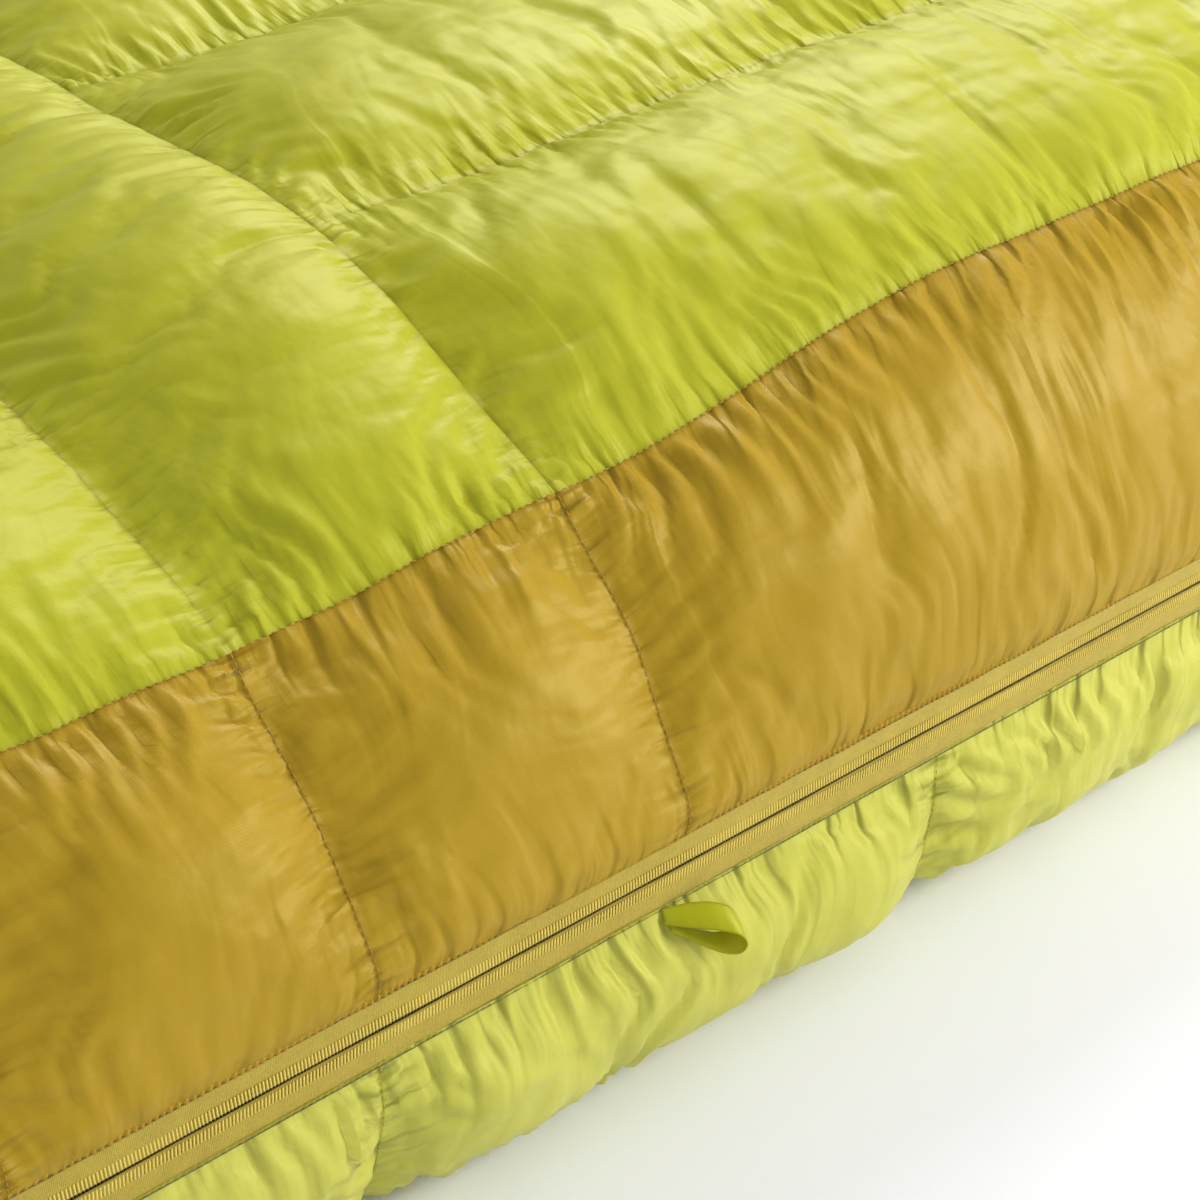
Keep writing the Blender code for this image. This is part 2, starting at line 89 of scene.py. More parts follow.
# Seam-level outlines, as (inset, height) from the zip band to the middle of the quilt
SIDE_OUTLINE = (
    (TAPE_INSET, BAND_TOP - SEAM_LAP),
    (0.0205, BAND_TOP + 0.012),
    (0.0330, BAND_TOP + 0.035),
    (0.0500, BAND_TOP + 0.064),
    (0.0660, BAND_TOP + 0.082),
    (BOUNDARY_INSET, BAND_TOP + 0.104),
)
CROWN_OUTLINE = (
    (BOUNDARY_INSET, BAND_TOP + 0.104),
    (0.1440, BAND_TOP + 0.131),
    (0.1760, BAND_TOP + 0.146),
    (0.2120, BAND_TOP + 0.155),
    (0.2600, BAND_TOP + 0.161),
    (0.3900, BAND_TOP + 0.161),
)
BASE_OUTLINE = (
    (TAPE_INSET, BAND_BOTTOM + SEAM_LAP),
    (0.0225, 0.060),
    (0.0290, 0.030),
    (0.0400, 0.012),
    (0.0560, 0.0025),
)


# --- Smooth random numbers ---


def blur_grid(rng, shape, cell):
    """Smooth noise of about unit size on a grid whose bumps are cell grid steps long."""
    counts = [max(2, int(math.ceil(n / c)) + 2) for n, c in zip(shape, cell)]
    coarse = rng.normal(0, 1, counts)
    parts = []
    for n, count in zip(shape, counts):
        at = np.linspace(0, count - 1.001, n)
        low = at.astype(int)
        share = at - low
        parts.append((low, share * share * (3 - 2 * share)))
    (i, s), (j, t) = parts
    s, t = s[:, None], t[None, :]
    near = coarse[i][:, j] * (1 - t) + coarse[i][:, j + 1] * t
    far = coarse[i + 1][:, j] * (1 - t) + coarse[i + 1][:, j + 1] * t
    return near * (1 - s) + far * s


def waves(points, seed, length, count=7):
    """Smooth noise in space, a sum of sine waves of about this length."""
    rng = np.random.default_rng(seed)
    total = np.zeros(len(points))
    for _ in range(count):
        way = rng.normal(0, 1, 3)
        way /= np.linalg.norm(way)
        size = rng.uniform(0.7, 1.5)
        total += np.sin(points @ way * (2 * math.pi / length) * size + rng.uniform(0, 6.28))
    return total * (0.9 / math.sqrt(count))


# --- Fabric tiles: flat cloth sewn down along its edges and filled with down ---

PUCKER_PATCH = 0.045
PRESSURE = 4


def edge_pucker(rng, along, off, length, depth):
    """Gathers that stand square to a seam and fade with the distance off from it."""
    shape = along.shape
    cell = (PUCKER_PATCH / GRID, PUCKER_PATCH / GRID)
    phase = 2.6 * blur_grid(rng, shape, cell)
    slant = 0.30 * blur_grid(rng, shape, cell)
    reach = 0.019 * np.exp(0.50 * blur_grid(rng, shape, cell))
    height = depth * np.clip(0.75 + 0.5 * blur_grid(rng, shape, cell), 0.1, 1.6)
    wave = np.sin(2 * math.pi * (along + slant * off) / length + phase)
    return height * wave * np.exp(-off / reach) * np.clip(off / 0.004, 0, 1)


def tile_start(size, seed, arch, depth, length):
    """Start heights of a tile: a low arch with gathers along all four seams."""
    counts = [max(8, int(round(side / GRID))) + 1 for side in size]
    rng = np.random.default_rng(seed)
    u, v = (np.linspace(0, side, n) for side, n in zip(size, counts))
    u, v = np.meshgrid(u, v, indexing="ij")
    off_u = np.minimum(u, size[0] - u)
    off_v = np.minimum(v, size[1] - v)
    off = np.minimum(off_u, off_v)
    half = min(size) / 2
    round_u = 1 - (1 - np.clip(off_u / half, 0, 1)) ** 2
    round_v = 1 - (1 - np.clip(off_v / half, 0, 1)) ** 2
    height = arch * round_u * round_v
    gathers = edge_pucker(rng, v, off_u, length, depth)
    gathers += edge_pucker(rng, u, off_v, length, depth)
    height += gathers * np.clip(off / 0.008, 0, 1)
    soft = blur_grid(rng, counts, (4, 4)) + 1.5 * blur_grid(rng, counts, (9, 9))
    height += 0.00035 * soft * np.clip(off / 0.006, 0, 1)
    return u, v, height, off


def add_cloth(name, u, v, height, off, growth):
    """A tile with Cloth on it, pinned where it is sewn and swollen by pressure."""
    index = np.arange(u.size).reshape(u.shape)
    faces = np.stack([index[:-1, :-1], index[1:, :-1], index[1:, 1:], index[:-1, 1:]], -1)
    mesh = bpy.data.meshes.new(name)
    points = np.stack([u, v, height], -1).reshape(-1, 3)
    mesh.from_pydata(points.tolist(), [], faces.reshape(-1, 4).tolist())
    cloth = bpy.data.objects.new(name, mesh)
    bpy.context.scene.collection.objects.link(cloth)
    pins = cloth.vertex_groups.new(name="sewn")
    pins.add(index[off < 1e-9].tolist(), 1.0, "REPLACE")
    modifier = cloth.modifiers.new("cloth", "CLOTH")
    settings = modifier.settings
    settings.vertex_group_mass = "sewn"
    settings.shrink_min = -growth
    settings.quality = 4
    settings.mass = 0.1
    settings.air_damping = 2
    settings.tension_stiffness = 15
    settings.compression_stiffness = 15
    settings.shear_stiffness = 5
    settings.bending_stiffness = 0.02
    settings.tension_damping = 5
    settings.compression_damping = 5
    settings.shear_damping = 5
    settings.bending_damping = 0.5
    settings.use_pressure = True
    settings.uniform_pressure_force = PRESSURE
    settings.effector_weights.gravity = 0
    modifier.collision_settings.use_collision = False
    modifier.point_cache.frame_start = 1
    modifier.point_cache.frame_end = FRAMES
    return cloth


# Each kind of tile: flat size, start arch, gather depth and spacing, growth, variants
TILES = {
    "band_long": ((0.128, 1.036), 0.011, 0.0026, 0.0115, 0.020, 2),
    "band_leg": ((0.128, 0.130), 0.009, 0.0024, 0.0112, 0.020, 5),
    "crown_long": ((0.145, 1.036), 0.012, 0.0022, 0.0105, 0.020, 3),
    "crown_leg": ((0.130, 0.600), 0.011, 0.0022, 0.0105, 0.020, 3),
    "base_side": ((0.096, 0.260), 0.009, 0.0034, 0.0130, 0.035, 4),
}


def simulate_tiles():
    """All tiles at once: {kind: [(size, grid of offsets along u, v and up), ...]}."""
    made = []
    for number, (kind, values) in enumerate(TILES.items()):
        size, arch, depth, length, growth, variants = values
        for k in range(variants):
            seed = 100 * number + k + 1
            u, v, height, off = tile_start(size, seed, arch, depth, length)
            cloth = add_cloth(f"tile_{kind}_{k}", u, v, height, off, growth)
            made.append((kind, size, cloth, None, u, v))
    scene = bpy.context.scene
    scene.frame_start, scene.frame_end = 1, FRAMES
    for number in range(1, FRAMES + 1):
        scene.frame_set(number)
    tiles = {kind: [] for kind in TILES}
    graph = bpy.context.evaluated_depsgraph_get()
    for kind, size, cloth, lift, u, v in made:
        if cloth:
            shown = cloth.evaluated_get(graph)
            mesh = shown.to_mesh()
            points = np.empty(len(mesh.vertices) * 3, np.float32)
            mesh.vertices.foreach_get("co", points)
            lift = points.reshape(u.shape + (3,)) - np.stack([u, v, 0 * u], -1)
        tiles[kind].append((size, lift))
    for _, _, cloth, *_ in made:
        if cloth:
            bpy.data.objects.remove(cloth, do_unlink=True)
    bpy.context.scene.frame_set(1)
    return tiles


def sample(grid, s, t):
    """Bilinear reading of a tile at shares s and t of its two sides."""
    rows, columns = grid.shape[:2]
    a = np.clip(s, 0, 1) * (rows - 1)
    b = np.clip(t, 0, 1) * (columns - 1)
    i = np.minimum(a.astype(int), rows - 2)
    j = np.minimum(b.astype(int), columns - 2)
    a, b = (a - i)[..., None], (b - j)[..., None]
    near = grid[i, j] * (1 - b) + grid[i, j + 1] * b
    far = grid[i + 1, j] * (1 - b) + grid[i + 1, j + 1] * b
    return near * (1 - a) + far * a


TILE_LIBRARY = simulate_tiles()


# --- Surfaces: world points of path and outline positions ---

CORNER_LINE_INSET = 0.04
SIDE_RUN = HEAD_Y - CORNER_Y
CORNER_RUN = math.pi / 2 * (CORNER_RADIUS - CORNER_LINE_INSET)
FOOT_RUN = 2 * CORNER_X
PATH_STOPS = np.cumsum([0, SIDE_RUN, CORNER_RUN, FOOT_RUN, CORNER_RUN, SIDE_RUN])


def plan_point(s, inset):
    """World x and y at a distance s along the plan path from the zip side's head end."""
    s, inset = np.broadcast_arrays(np.asarray(s, float), np.asarray(inset, float))
    radius = np.maximum(CORNER_RADIUS - inset, SMALLEST_RADIUS)
    centre_x = HALF_WIDTH - inset - radius
    centre_y = FOOT_Y + inset + radius
    first = PATH_STOPS[1]
    turn = np.clip((s - first) / CORNER_RUN, 0, 1) * (math.pi / 2)
    back = np.clip((s - PATH_STOPS[3]) / CORNER_RUN, 0, 1) * (math.pi / 2)
    along = np.clip((s - PATH_STOPS[2]) / FOOT_RUN, 0, 1)
    x = centre_x + radius * np.cos(turn)
    y = centre_y - radius * np.sin(turn)
    x = np.where(s > PATH_STOPS[2], centre_x * (1 - 2 * along), x)
    x = np.where(s > PATH_STOPS[3], -(centre_x + radius * np.sin(back)), x)
    y = np.where(s > PATH_STOPS[3], centre_y - radius * np.cos(back), y)
    y = np.where(s <= first, HEAD_Y - s, y)
    x = np.where(s <= first, HALF_WIDTH - inset, x)
    last = s > PATH_STOPS[4]
    y = np.where(last, CORNER_Y + (s - PATH_STOPS[4]), y)
    x = np.where(last, -(HALF_WIDTH - inset), x)
    return x, y


def path_of_y(side, y):
    """Distance along the plan path of a place y on one straight side."""
    return HEAD_Y - y if side > 0 else PATH_STOPS[4] + (y - CORNER_Y)


def smooth_step(value):
    value = np.clip(value, 0, 1)
    return value * value * (3 - 2 * value)


class Outline:
    """An (inset, height) outline read by share of its length."""

    def __init__(self, points):
        points = np.array(points)
        steps = np.linalg.norm(np.diff(points, axis=0), axis=1)
        fine = np.linspace(0, 1, 200)
        at = np.concatenate([[0], np.cumsum(steps)])
        self.length = at[-1]
        rough = np.stack([np.interp(fine * at[-1], at, column) for column in points.T], 1)
        for _ in range(60):
            rough[1:-1] = (rough[:-2] + 2 * rough[1:-1] + rough[2:]) / 4
        steps = np.linalg.norm(np.diff(rough, axis=0), axis=1)
        at = np.concatenate([[0], np.cumsum(steps)])
        self.shares, self.points = at / at[-1], rough

    def __call__(self, share):
        inset = np.interp(share, self.shares, self.points[:, 0])
        height = np.interp(share, self.shares, self.points[:, 1])
        return inset, height


SIDE = Outline(SIDE_OUTLINE)
CROWN_INSET = np.array([p[0] for p in CROWN_OUTLINE])
CROWN_HEIGHT = np.array([p[1] for p in CROWN_OUTLINE])
BASE_SIDE = Outline(BASE_OUTLINE)


def chest_lift(y):
    """How far the chest's long chambers lift the crown above the cross seams."""
    return smooth_step((y - ZONE_Y) / 0.22)


def leg_drop(y):
    """How far the leg's cross seams lie below the chest's first one."""
    foot = smooth_step((-0.55 - y) / 0.45)
    return 0.022 * smooth_step((ZONE_Y - y) / 0.13) + 0.020 * foot


def boundary_lift(y):
    """Change of the seam level where the side band meets the crown."""
    return 0.030 * chest_lift(y) - 0.35 * leg_drop(y)


def crown_lift(y):
    """Change of the seam level over the middle of the quilt."""
    return 0.010 * chest_lift(y) - leg_drop(y)


def lift_at(y, inset):
    """Change of the seam level along the quilt, growing from the zip to the crown."""
    share = smooth_step((inset - 0.02) / 0.12)
    return share * crown_lift(y)


def band_surface(share, s):
    """The side band by share of its height and distance along the path."""
    inset, height = SIDE(share)
    x, y = plan_point(s, inset)
    edge = smooth_step(share) * boundary_lift(y)
    return np.stack([x, y, height + edge], -1)


def base_surface(share, s):
    """The base side by share of its height, from the tape down, and distance along the path."""
    inset, height = BASE_SIDE(share)
    x, y = plan_point(s, inset)
    return np.stack([x, y, height + 0 * x], -1)


def crown_edge(y):
    """Half width of the crown's edge at a place y, which follows the foot corners."""
    radius = CORNER_RADIUS - BOUNDARY_INSET
    deep = np.clip((CORNER_Y - y) / radius, 0, 1)
    return CORNER_X + radius * np.sqrt(1 - deep * deep)


def crown_surface(share, y):
    """The crown by share of its width at y, from the zip side (0) to the fold side (1)."""
    share, y = np.broadcast_arrays(np.asarray(share, float), np.asarray(y, float))
    x = crown_edge(y) * (1 - 2 * share)
    side_inset = HALF_WIDTH - np.abs(x)
    foot_inset = y - FOOT_Y
    corner = np.hypot(np.maximum(np.abs(x) - CORNER_X, 0), np.maximum(CORNER_Y - y, 0))
    in_corner = (np.abs(x) > CORNER_X) & (y < CORNER_Y)
    near = np.minimum(side_inset, foot_inset)
    soft = near - 0.03 * np.exp(-np.abs(side_inset - foot_inset) / 0.05) * (y < CORNER_Y + 0.2)
    inset = np.where(in_corner, CORNER_RADIUS - corner, np.maximum(soft, BOUNDARY_INSET))
    height = np.interp(inset, CROWN_INSET, CROWN_HEIGHT)
    share_in = smooth_step((inset - BOUNDARY_INSET) / 0.09)
    height = height + boundary_lift(y) * (1 - share_in) + crown_lift(y) * share_in
    return np.stack([x, y, height], -1)


def crown_share(x):
    """Share of the crown's width at x, from the zip side."""
    return (CROWN_HALF - x) / (2 * CROWN_HALF)


# --- Quilted meshes ---

LOWEST = 0.0006


def grid_normals(points):
    du = np.gradient(points, axis=0)
    dv = np.gradient(points, axis=1)
    normal = np.cross(du, dv)
    return normal / np.maximum(np.linalg.norm(normal, axis=-1, keepdims=True), 1e-12)


def tile_for(kind, number):
    """A variant of a tile for this cell, turned end for end on every other use."""
    variants = TILE_LIBRARY[kind]
    size, lift = variants[number % len(variants)]
    turned = number // len(variants)
    if turned % 2:
        lift = lift[:, ::-1] * np.array([1, -1, 1])
    if (turned // 2) % 2:
        lift = lift[::-1] * np.array([-1, 1, 1])
    return size, lift


def quilted_cell(
    surface, u_range, v_range, size_m, kind, number, out=1, loft=1.0, turn=False, calm=0.0
):
    """Grid of world points of one sewn cell: surface(u, v) lifted by a fabric tile.

    u_range and v_range are the surface's own numbers, size_m the cell's real size along
    each. With turn, the tile's long side runs along u. Within calm of the first side,
    which is the one at the zip, the cloth rises slowly.
    """
    size, lift = tile_for(kind, number)
    if turn:
        lift = np.swapaxes(lift, 0, 1)[..., [1, 0, 2]]
        size = (size[1], size[0])
    rows = max(6, int(round(size_m[0] / GRID))) + 1
    columns = max(6, int(round(size_m[1] / GRID))) + 1
    s = np.linspace(0, 1, rows)[:, None] * np.ones((1, columns))
    t = np.ones((rows, 1)) * np.linspace(0, 1, columns)[None, :]
    along = sample(lift, s, t)
    scale_u, scale_v = size_m[0] / size[0], size_m[1] / size[1]
    shift_s = along[..., 0] / size[0]
    shift_t = along[..., 1] / size[1]
    u = u_range[0] + (u_range[1] - u_range[0]) * (s + shift_s)
    v = v_range[0] + (v_range[1] - v_range[0]) * (t + shift_t)
    base = surface(u, v)
    flat = surface(
        u_range[0] + (u_range[1] - u_range[0]) * s, v_range[0] + (v_range[1] - v_range[0]) * t
    )
    normal = grid_normals(flat) * out
    height = along[..., 2] * loft * min(scale_u, scale_v, 1.15)
    if calm:
        height = height * (0.30 + 0.70 * smooth_step(s * size_m[0] / calm))
    return base + normal * height[..., None], (s, t)


def add_piece(name, mesh, material, body):
    """Puts a mesh in the scene as a smooth piece; it rides on the body if there is one."""
    mesh.shade_smooth()
    mesh.materials.append(material)
    piece = bpy.data.objects.new(name, mesh)
    bpy.context.scene.collection.objects.link(piece)
    if body:
        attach(piece, body)
    return piece


def ring_faces(sides, levels):
    """Quads round a tube of rings with this many sides, one ring on each level."""
    quads = []
    for low in range(0, (levels - 1) * sides, sides):
        high = low + sides
        for i in range(sides):
            j = (i + 1) % sides
            quads.append((low + i, low + j, high + j, high + i))
    return quads


class Cloth:
    """Collects grids of points into one mesh, welding the seams that cells share."""

    def __init__(self):
        self.points, self.faces, self.maps, self.inner, self.count = [], [], [], [], 0

    def add(self, grid, shares, size_m, flip=False, start=(0, 0)):
        """Adds a grid with its map in metres and its distances from the seams."""
        rows, columns = grid.shape[:2]
        index = np.arange(rows * columns).reshape(rows, columns) + self.count
        faces = np.stack(
            [index[:-1, :-1], index[1:, :-1], index[1:, 1:], index[:-1, 1:]], -1
        ).reshape(-1, 4)
        self.faces.append(faces[:, ::-1] if flip else faces)
        self.points.append(grid.reshape(-1, 3))
        inner = np.zeros((rows, columns), np.int64)
        inner[1:-1, 1:-1] = index[1:-1, 1:-1] + 1
        self.inner.append(inner.reshape(-1, 1))
        s, t = shares
        along = np.stack([start[0] + s * size_m[0], start[1] + t * size_m[1]], -1)
        off_u = np.minimum(s, 1 - s) * size_m[0]
        off_v = np.minimum(t, 1 - t) * size_m[1]
        self.maps.append(np.concatenate([along, off_u[..., None], off_v[..., None]], -1).reshape(-1, 4))
        self.count += rows * columns

    def build(self, name, material, body, weld=0.0004):
        """Makes the piece; only points on the borders of grids weld to each other."""
        points = np.concatenate(self.points)
        faces = np.concatenate(self.faces)
        mesh = bpy.data.meshes.new(name)
        keys = np.round(points / weld).astype(np.int64)
        keys = np.concatenate([keys, np.concatenate(self.inner)], 1)
        _, first, index = np.unique(keys, axis=0, return_index=True, return_inverse=True)
        index = index.reshape(-1)
        corner_maps = np.concatenate(self.maps)[faces.reshape(-1)]
        faces = index[faces]
        pairs = ((0, 1), (1, 2), (2, 3), (3, 0), (0, 2), (1, 3))
        different = np.all([faces[:, a] != faces[:, b] for a, b in pairs], axis=0)
        corner_maps = corner_maps.reshape(-1, 4, 4)[different].reshape(-1, 4)
        faces = faces[different]
        mesh.from_pydata(points[first].tolist(), [], faces.tolist())
        for layer, columns in (("cloth", (0, 1)), ("seam", (2, 3))):
            uv = mesh.uv_layers.new(name=layer)
            uv.data.foreach_set("uv", corner_maps[:, columns].astype(np.float32).ravel())
        return add_piece(name, mesh, material, body)


def soften(points, keep):
    """Small slow bends that take the ruler-straight look off the seams; keep is 0 to 1."""
    move = np.stack([waves(points, 900 + k, 0.16) for k in range(3)], -1)
    fine = np.stack([waves(points, 950 + k, 0.05) for k in range(3)], -1)
    return points + (move * 0.0016 + fine * 0.0005) * keep[:, None]


def settle(cloth):
    """Softens every grid; the stretch by the zip stays straight and the ground side flat."""
    for k, points in enumerate(cloth.points):
        from_zip = np.clip(np.abs(points[:, 2] - ZIP_Z) / 0.06, 0, 1)
        from_floor = np.clip(points[:, 2] / 0.03, 0, 1)
        from_head = np.clip((HEAD_Y - points[:, 1]) / 0.03, 0, 1)
        moved = soften(points, from_zip * from_floor * from_head)
        moved[:, 2] = np.maximum(moved[:, 2], LOWEST)
        cloth.points[k] = moved


# --- Materials ---


def new_group(name, inputs, outputs):
    group = bpy.data.node_groups.new(name, "ShaderNodeTree")
    for label, value in inputs:
        kind = "NodeSocketColor" if isinstance(value, tuple) else "NodeSocketFloat"
        socket = group.interface.new_socket(label, in_out="INPUT", socket_type=kind)
        socket.default_value = value
    for label, kind in outputs:
        group.interface.new_socket(label, in_out="OUTPUT", socket_type=kind)
    return group, group.nodes.new("NodeGroupInput"), group.nodes.new("NodeGroupOutput")


def math_node(tree, operation, first, second=None):
    node = tree.nodes.new("ShaderNodeMath")
    node.operation = operation
    for socket, value in zip(node.inputs, (first, second)):
        if value is None:
            continue
        if isinstance(value, (int, float)):
            socket.default_value = value
        else:
            tree.links.new(value, socket)
    return node.outputs[0]


def mix_colour(tree, share, first, second):
    node = tree.nodes.new("ShaderNodeMix")
    node.data_type = "RGBA"
    for socket, value in ((node.inputs[0], share), (node.inputs[6], first), (node.inputs[7], second)):
        if isinstance(value, (int, float, tuple)):
            socket.default_value = value
        else:
            tree.links.new(value, socket)
    return node.outputs[2]


def noise(tree, vector, scale, detail=2.0, roughness=0.5):
    node = tree.nodes.new("ShaderNodeTexNoise")
    if isinstance(scale, (int, float)):
        node.inputs["Scale"].default_value = scale
    else:
        tree.links.new(scale, node.inputs["Scale"])
    node.inputs["Detail"].default_value = detail
    node.inputs["Roughness"].default_value = roughness
    tree.links.new(vector, node.inputs["Vector"])
    return node.outputs["Fac"]


def cloth_grain():
    """Plain weave, fine crinkle and seam gathers of a light nylon, from the cloth's own map."""
    group, given, out = new_group(
        "CrinkledNylon",
        (("Gather", 1.0), ("Crinkle", 1.0), ("Pleat", 1.0)),
        (("Height", "NodeSocketFloat"), ("Shade", "NodeSocketFloat"), ("Edge", "NodeSocketFloat")),
    )
    nodes, links = group.nodes, group.links
    flat = nodes.new("ShaderNodeUVMap")
    flat.uv_map = "cloth"
    seam = nodes.new("ShaderNodeUVMap")
    seam.uv_map = "seam"
    place = nodes.new("ShaderNodeTexCoord").outputs["Object"]
    split_flat = nodes.new("ShaderNodeSeparateXYZ")
    split_seam = nodes.new("ShaderNodeSeparateXYZ")
    links.new(flat.outputs[0], split_flat.inputs[0])
    links.new(seam.outputs[0], split_seam.inputs[0])
    u, v = split_flat.outputs[0], split_flat.outputs[1]
    off_u, off_v = split_seam.outputs[0], split_seam.outputs[1]

    def pleats(along, off, pitch, reach, seed):
        """Irregular folds that stand square to a seam and fade with the distance from it."""
        slant = math_node(group, "SUBTRACT", noise(group, place, 8.0, 1.0), 0.5)
        slant = math_node(group, "MULTIPLY", math_node(group, "MULTIPLY", slant, off), 1.6)
        across = math_node(group, "DIVIDE", math_node(group, "ADD", along, slant), pitch * 0.62)
        out_by = math_node(group, "DIVIDE", off, reach * 1.6)
        spot = nodes.new("ShaderNodeCombineXYZ")
        links.new(across, spot.inputs[0])
        links.new(out_by, spot.inputs[1])
        spot.inputs[2].default_value = seed
        swell = math_node(group, "SUBTRACT", noise(group, spot.outputs[0], 0.8, 0.6, 0.4), 0.5)
        ridge = math_node(group, "MULTIPLY", math_node(group, "MULTIPLY", swell, swell), -26.0)
        ridge = math_node(group, "MAXIMUM", math_node(group, "ADD", ridge, 1.0), 0.0)
        ridge = math_node(group, "MULTIPLY", math_node(group, "MULTIPLY", ridge, ridge), 0.10)
        folds = math_node(group, "ADD", swell, ridge)
        reach_here = math_node(group, "ADD", noise(group, place, 30.0, 1.0), 0.35)
        reach_here = math_node(group, "MULTIPLY", reach_here, reach)
        fade = math_node(group, "DIVIDE", off, reach_here)
        fade = math_node(group, "POWER", 2.718, math_node(group, "MULTIPLY", fade, -1.0))
        return math_node(group, "MULTIPLY", folds, fade)

    fine = (pleats(v, off_u, 0.0050, 0.009, 3.0), pleats(u, off_v, 0.0050, 0.009, 7.0))
    fine = math_node(group, "ADD", *fine)
    fine = math_node(group, "MULTIPLY", math_node(group, "MULTIPLY", fine, 0.0024), given.outputs["Gather"])
    long = (pleats(v, off_u, 0.0105, 0.026, 13.0), pleats(u, off_v, 0.0105, 0.018, 17.0))
    long = math_node(group, "ADD", *long)
    long = math_node(group, "MULTIPLY", math_node(group, "MULTIPLY", long, 0.0075), given.outputs["Pleat"])
    seams = math_node(group, "ADD", fine, long)
    stretched = nodes.new("ShaderNodeMapping")
    stretched.inputs["Rotation"].default_value = (0, 0, 0.8)
    stretched.inputs["Scale"].default_value = (1.0, 0.28, 1.0)
    links.new(flat.outputs[0], stretched.inputs["Vector"])
    crease = math_node(group, "SUBTRACT", noise(group, stretched.outputs[0], 60.0, 1.0, 0.4), 0.5)
    crease = math_node(group, "MULTIPLY", crease, 0.0026)
    broad = math_node(group, "SUBTRACT", noise(group, place, 40.0, 3.0, 0.5), 0.5)
    broad = math_node(group, "MULTIPLY", broad, 0.0014)
    crinkle = math_node(group, "ADD", crease, broad)
    crinkle = math_node(group, "MULTIPLY", crinkle, given.outputs["Crinkle"])
    threads = []
    for along in (u, v):
        turn = math_node(group, "MULTIPLY", along, 2 * math.pi / 0.0009)
        threads.append(math_node(group, "SINE", turn))
    weave = math_node(group, "MULTIPLY", math_node(group, "ADD", threads[0], threads[1]), 0.000006)
    total = math_node(group, "ADD", math_node(group, "ADD", seams, crinkle), weave)
    links.new(total, out.inputs["Height"])
    links.new(noise(group, place, 9.0, 4.0), out.inputs["Shade"])
    # Painted shade mask: one on the seams and falling off within about a millimetre, for the shade where the
    # cloth creases into them.
    near = math_node(group, "MINIMUM", off_u, off_v)
    near = math_node(group, "DIVIDE", near, 0.0011)
    near = math_node(group, "POWER", 2.718, math_node(group, "MULTIPLY", near, -1.0))
    links.new(near, out.inputs["Edge"])
    return group


GRAIN = cloth_grain()


def speckle():
    """Flecks of colour with a shine and a height of their own, for plain finishes and thread."""
    group, given, out = new_group(
        "Speckle",
        (("Scale", 500.0), ("Depth", 0.0001), ("Shine", 0.5)),
        (("Fleck", "NodeSocketFloat"), ("Roughness", "NodeSocketFloat"), ("Height", "NodeSocketFloat")),
    )
    place = group.nodes.new("ShaderNodeTexCoord").outputs["Object"]
    fleck = noise(group, place, given.outputs["Scale"], 4.0, 0.6)
    rough = math_node(group, "MULTIPLY", fleck, 0.2)
    rough = math_node(group, "ADD", rough, math_node(group, "SUBTRACT", given.outputs["Shine"], 0.1))
    group.links.new(fleck, out.inputs["Fleck"])
    group.links.new(rough, out.inputs["Roughness"])
    group.links.new(math_node(group, "MULTIPLY", fleck, given.outputs["Depth"]), out.inputs["Height"])
    return group


SPECKLE = speckle()


def raise_surface(tree, shader, height):
    """Feeds a height in metres to the shader as a bump."""
    bump = tree.nodes.new("ShaderNodeBump")
    bump.inputs["Distance"].default_value = 1.0
    tree.links.new(height, bump.inputs["Height"])
    tree.links.new(bump.outputs[0], shader.inputs["Normal"])


def principled(name, colour, roughness, sheen=0.0, specular=0.5, metallic=0.0):
    material = bpy.data.materials.new(name)
    material.use_nodes = True
    shader = material.node_tree.nodes["Principled BSDF"]
    shader.inputs["Base Color"].default_value = colour
    shader.inputs["Roughness"].default_value = roughness
    shader.inputs["Metallic"].default_value = metallic
    shader.inputs["Specular IOR Level"].default_value = specular
    shader.inputs["Sheen Weight"].default_value = sheen
    material.diffuse_color = colour
    return material, shader


def nylon(name, light, deep, seam, roughness, gather=1.0, crinkle=1.0, pleat=1.0, tint=(1, 1, 1, 1)):
    """Downproof nylon: satin gloss, slow colour drift, and painted shade that darkens it along every seam."""
    material, shader = principled(name, light, roughness, 0.0, 0.34)
    shader.inputs["Specular Tint"].default_value = tint
    tree = material.node_tree
    grain = tree.nodes.new("ShaderNodeGroup")
    grain.node_tree = GRAIN
    grain.inputs["Gather"].default_value = gather
    grain.inputs["Crinkle"].default_value = crinkle
    grain.inputs["Pleat"].default_value = pleat
    body = mix_colour(tree, grain.outputs["Shade"], light, deep)
    # Painted shade: the seam colour is mixed in along every seam, darkening the cloth in the seam creases.
    edge = math_node(tree, "MULTIPLY", grain.outputs["Edge"], 0.70)
    tree.links.new(mix_colour(tree, edge, body, seam), shader.inputs["Base Color"])
    rough = math_node(tree, "MULTIPLY", grain.outputs["Shade"], 0.16)
    rough = math_node(tree, "ADD", rough, roughness - 0.08)
    tree.links.new(rough, shader.inputs["Roughness"])
    raise_surface(tree, shader, grain.outputs["Height"])
    return material


LIME_SHINE = (1.0, 0.97, 0.30, 1)
OCHRE_SHINE = (1.0, 0.85, 0.30, 1)
# Each nylon's third colour is the painted shade mixed in along its seams.
LIME = nylon(
    "lime_nylon", (0.45, 0.45, 0.024, 1), (0.38, 0.375, 0.014, 1), (0.28, 0.27, 0.010, 1), 0.48,
    crinkle=0.85, pleat=0.62, tint=LIME_SHINE,
)
OCHRE = nylon(
    "ochre_nylon", (0.435, 0.278, 0.018, 1), (0.350, 0.212, 0.010, 1), (0.26, 0.145, 0.008, 1), 0.44,
    crinkle=0.75, tint=OCHRE_SHINE,
)
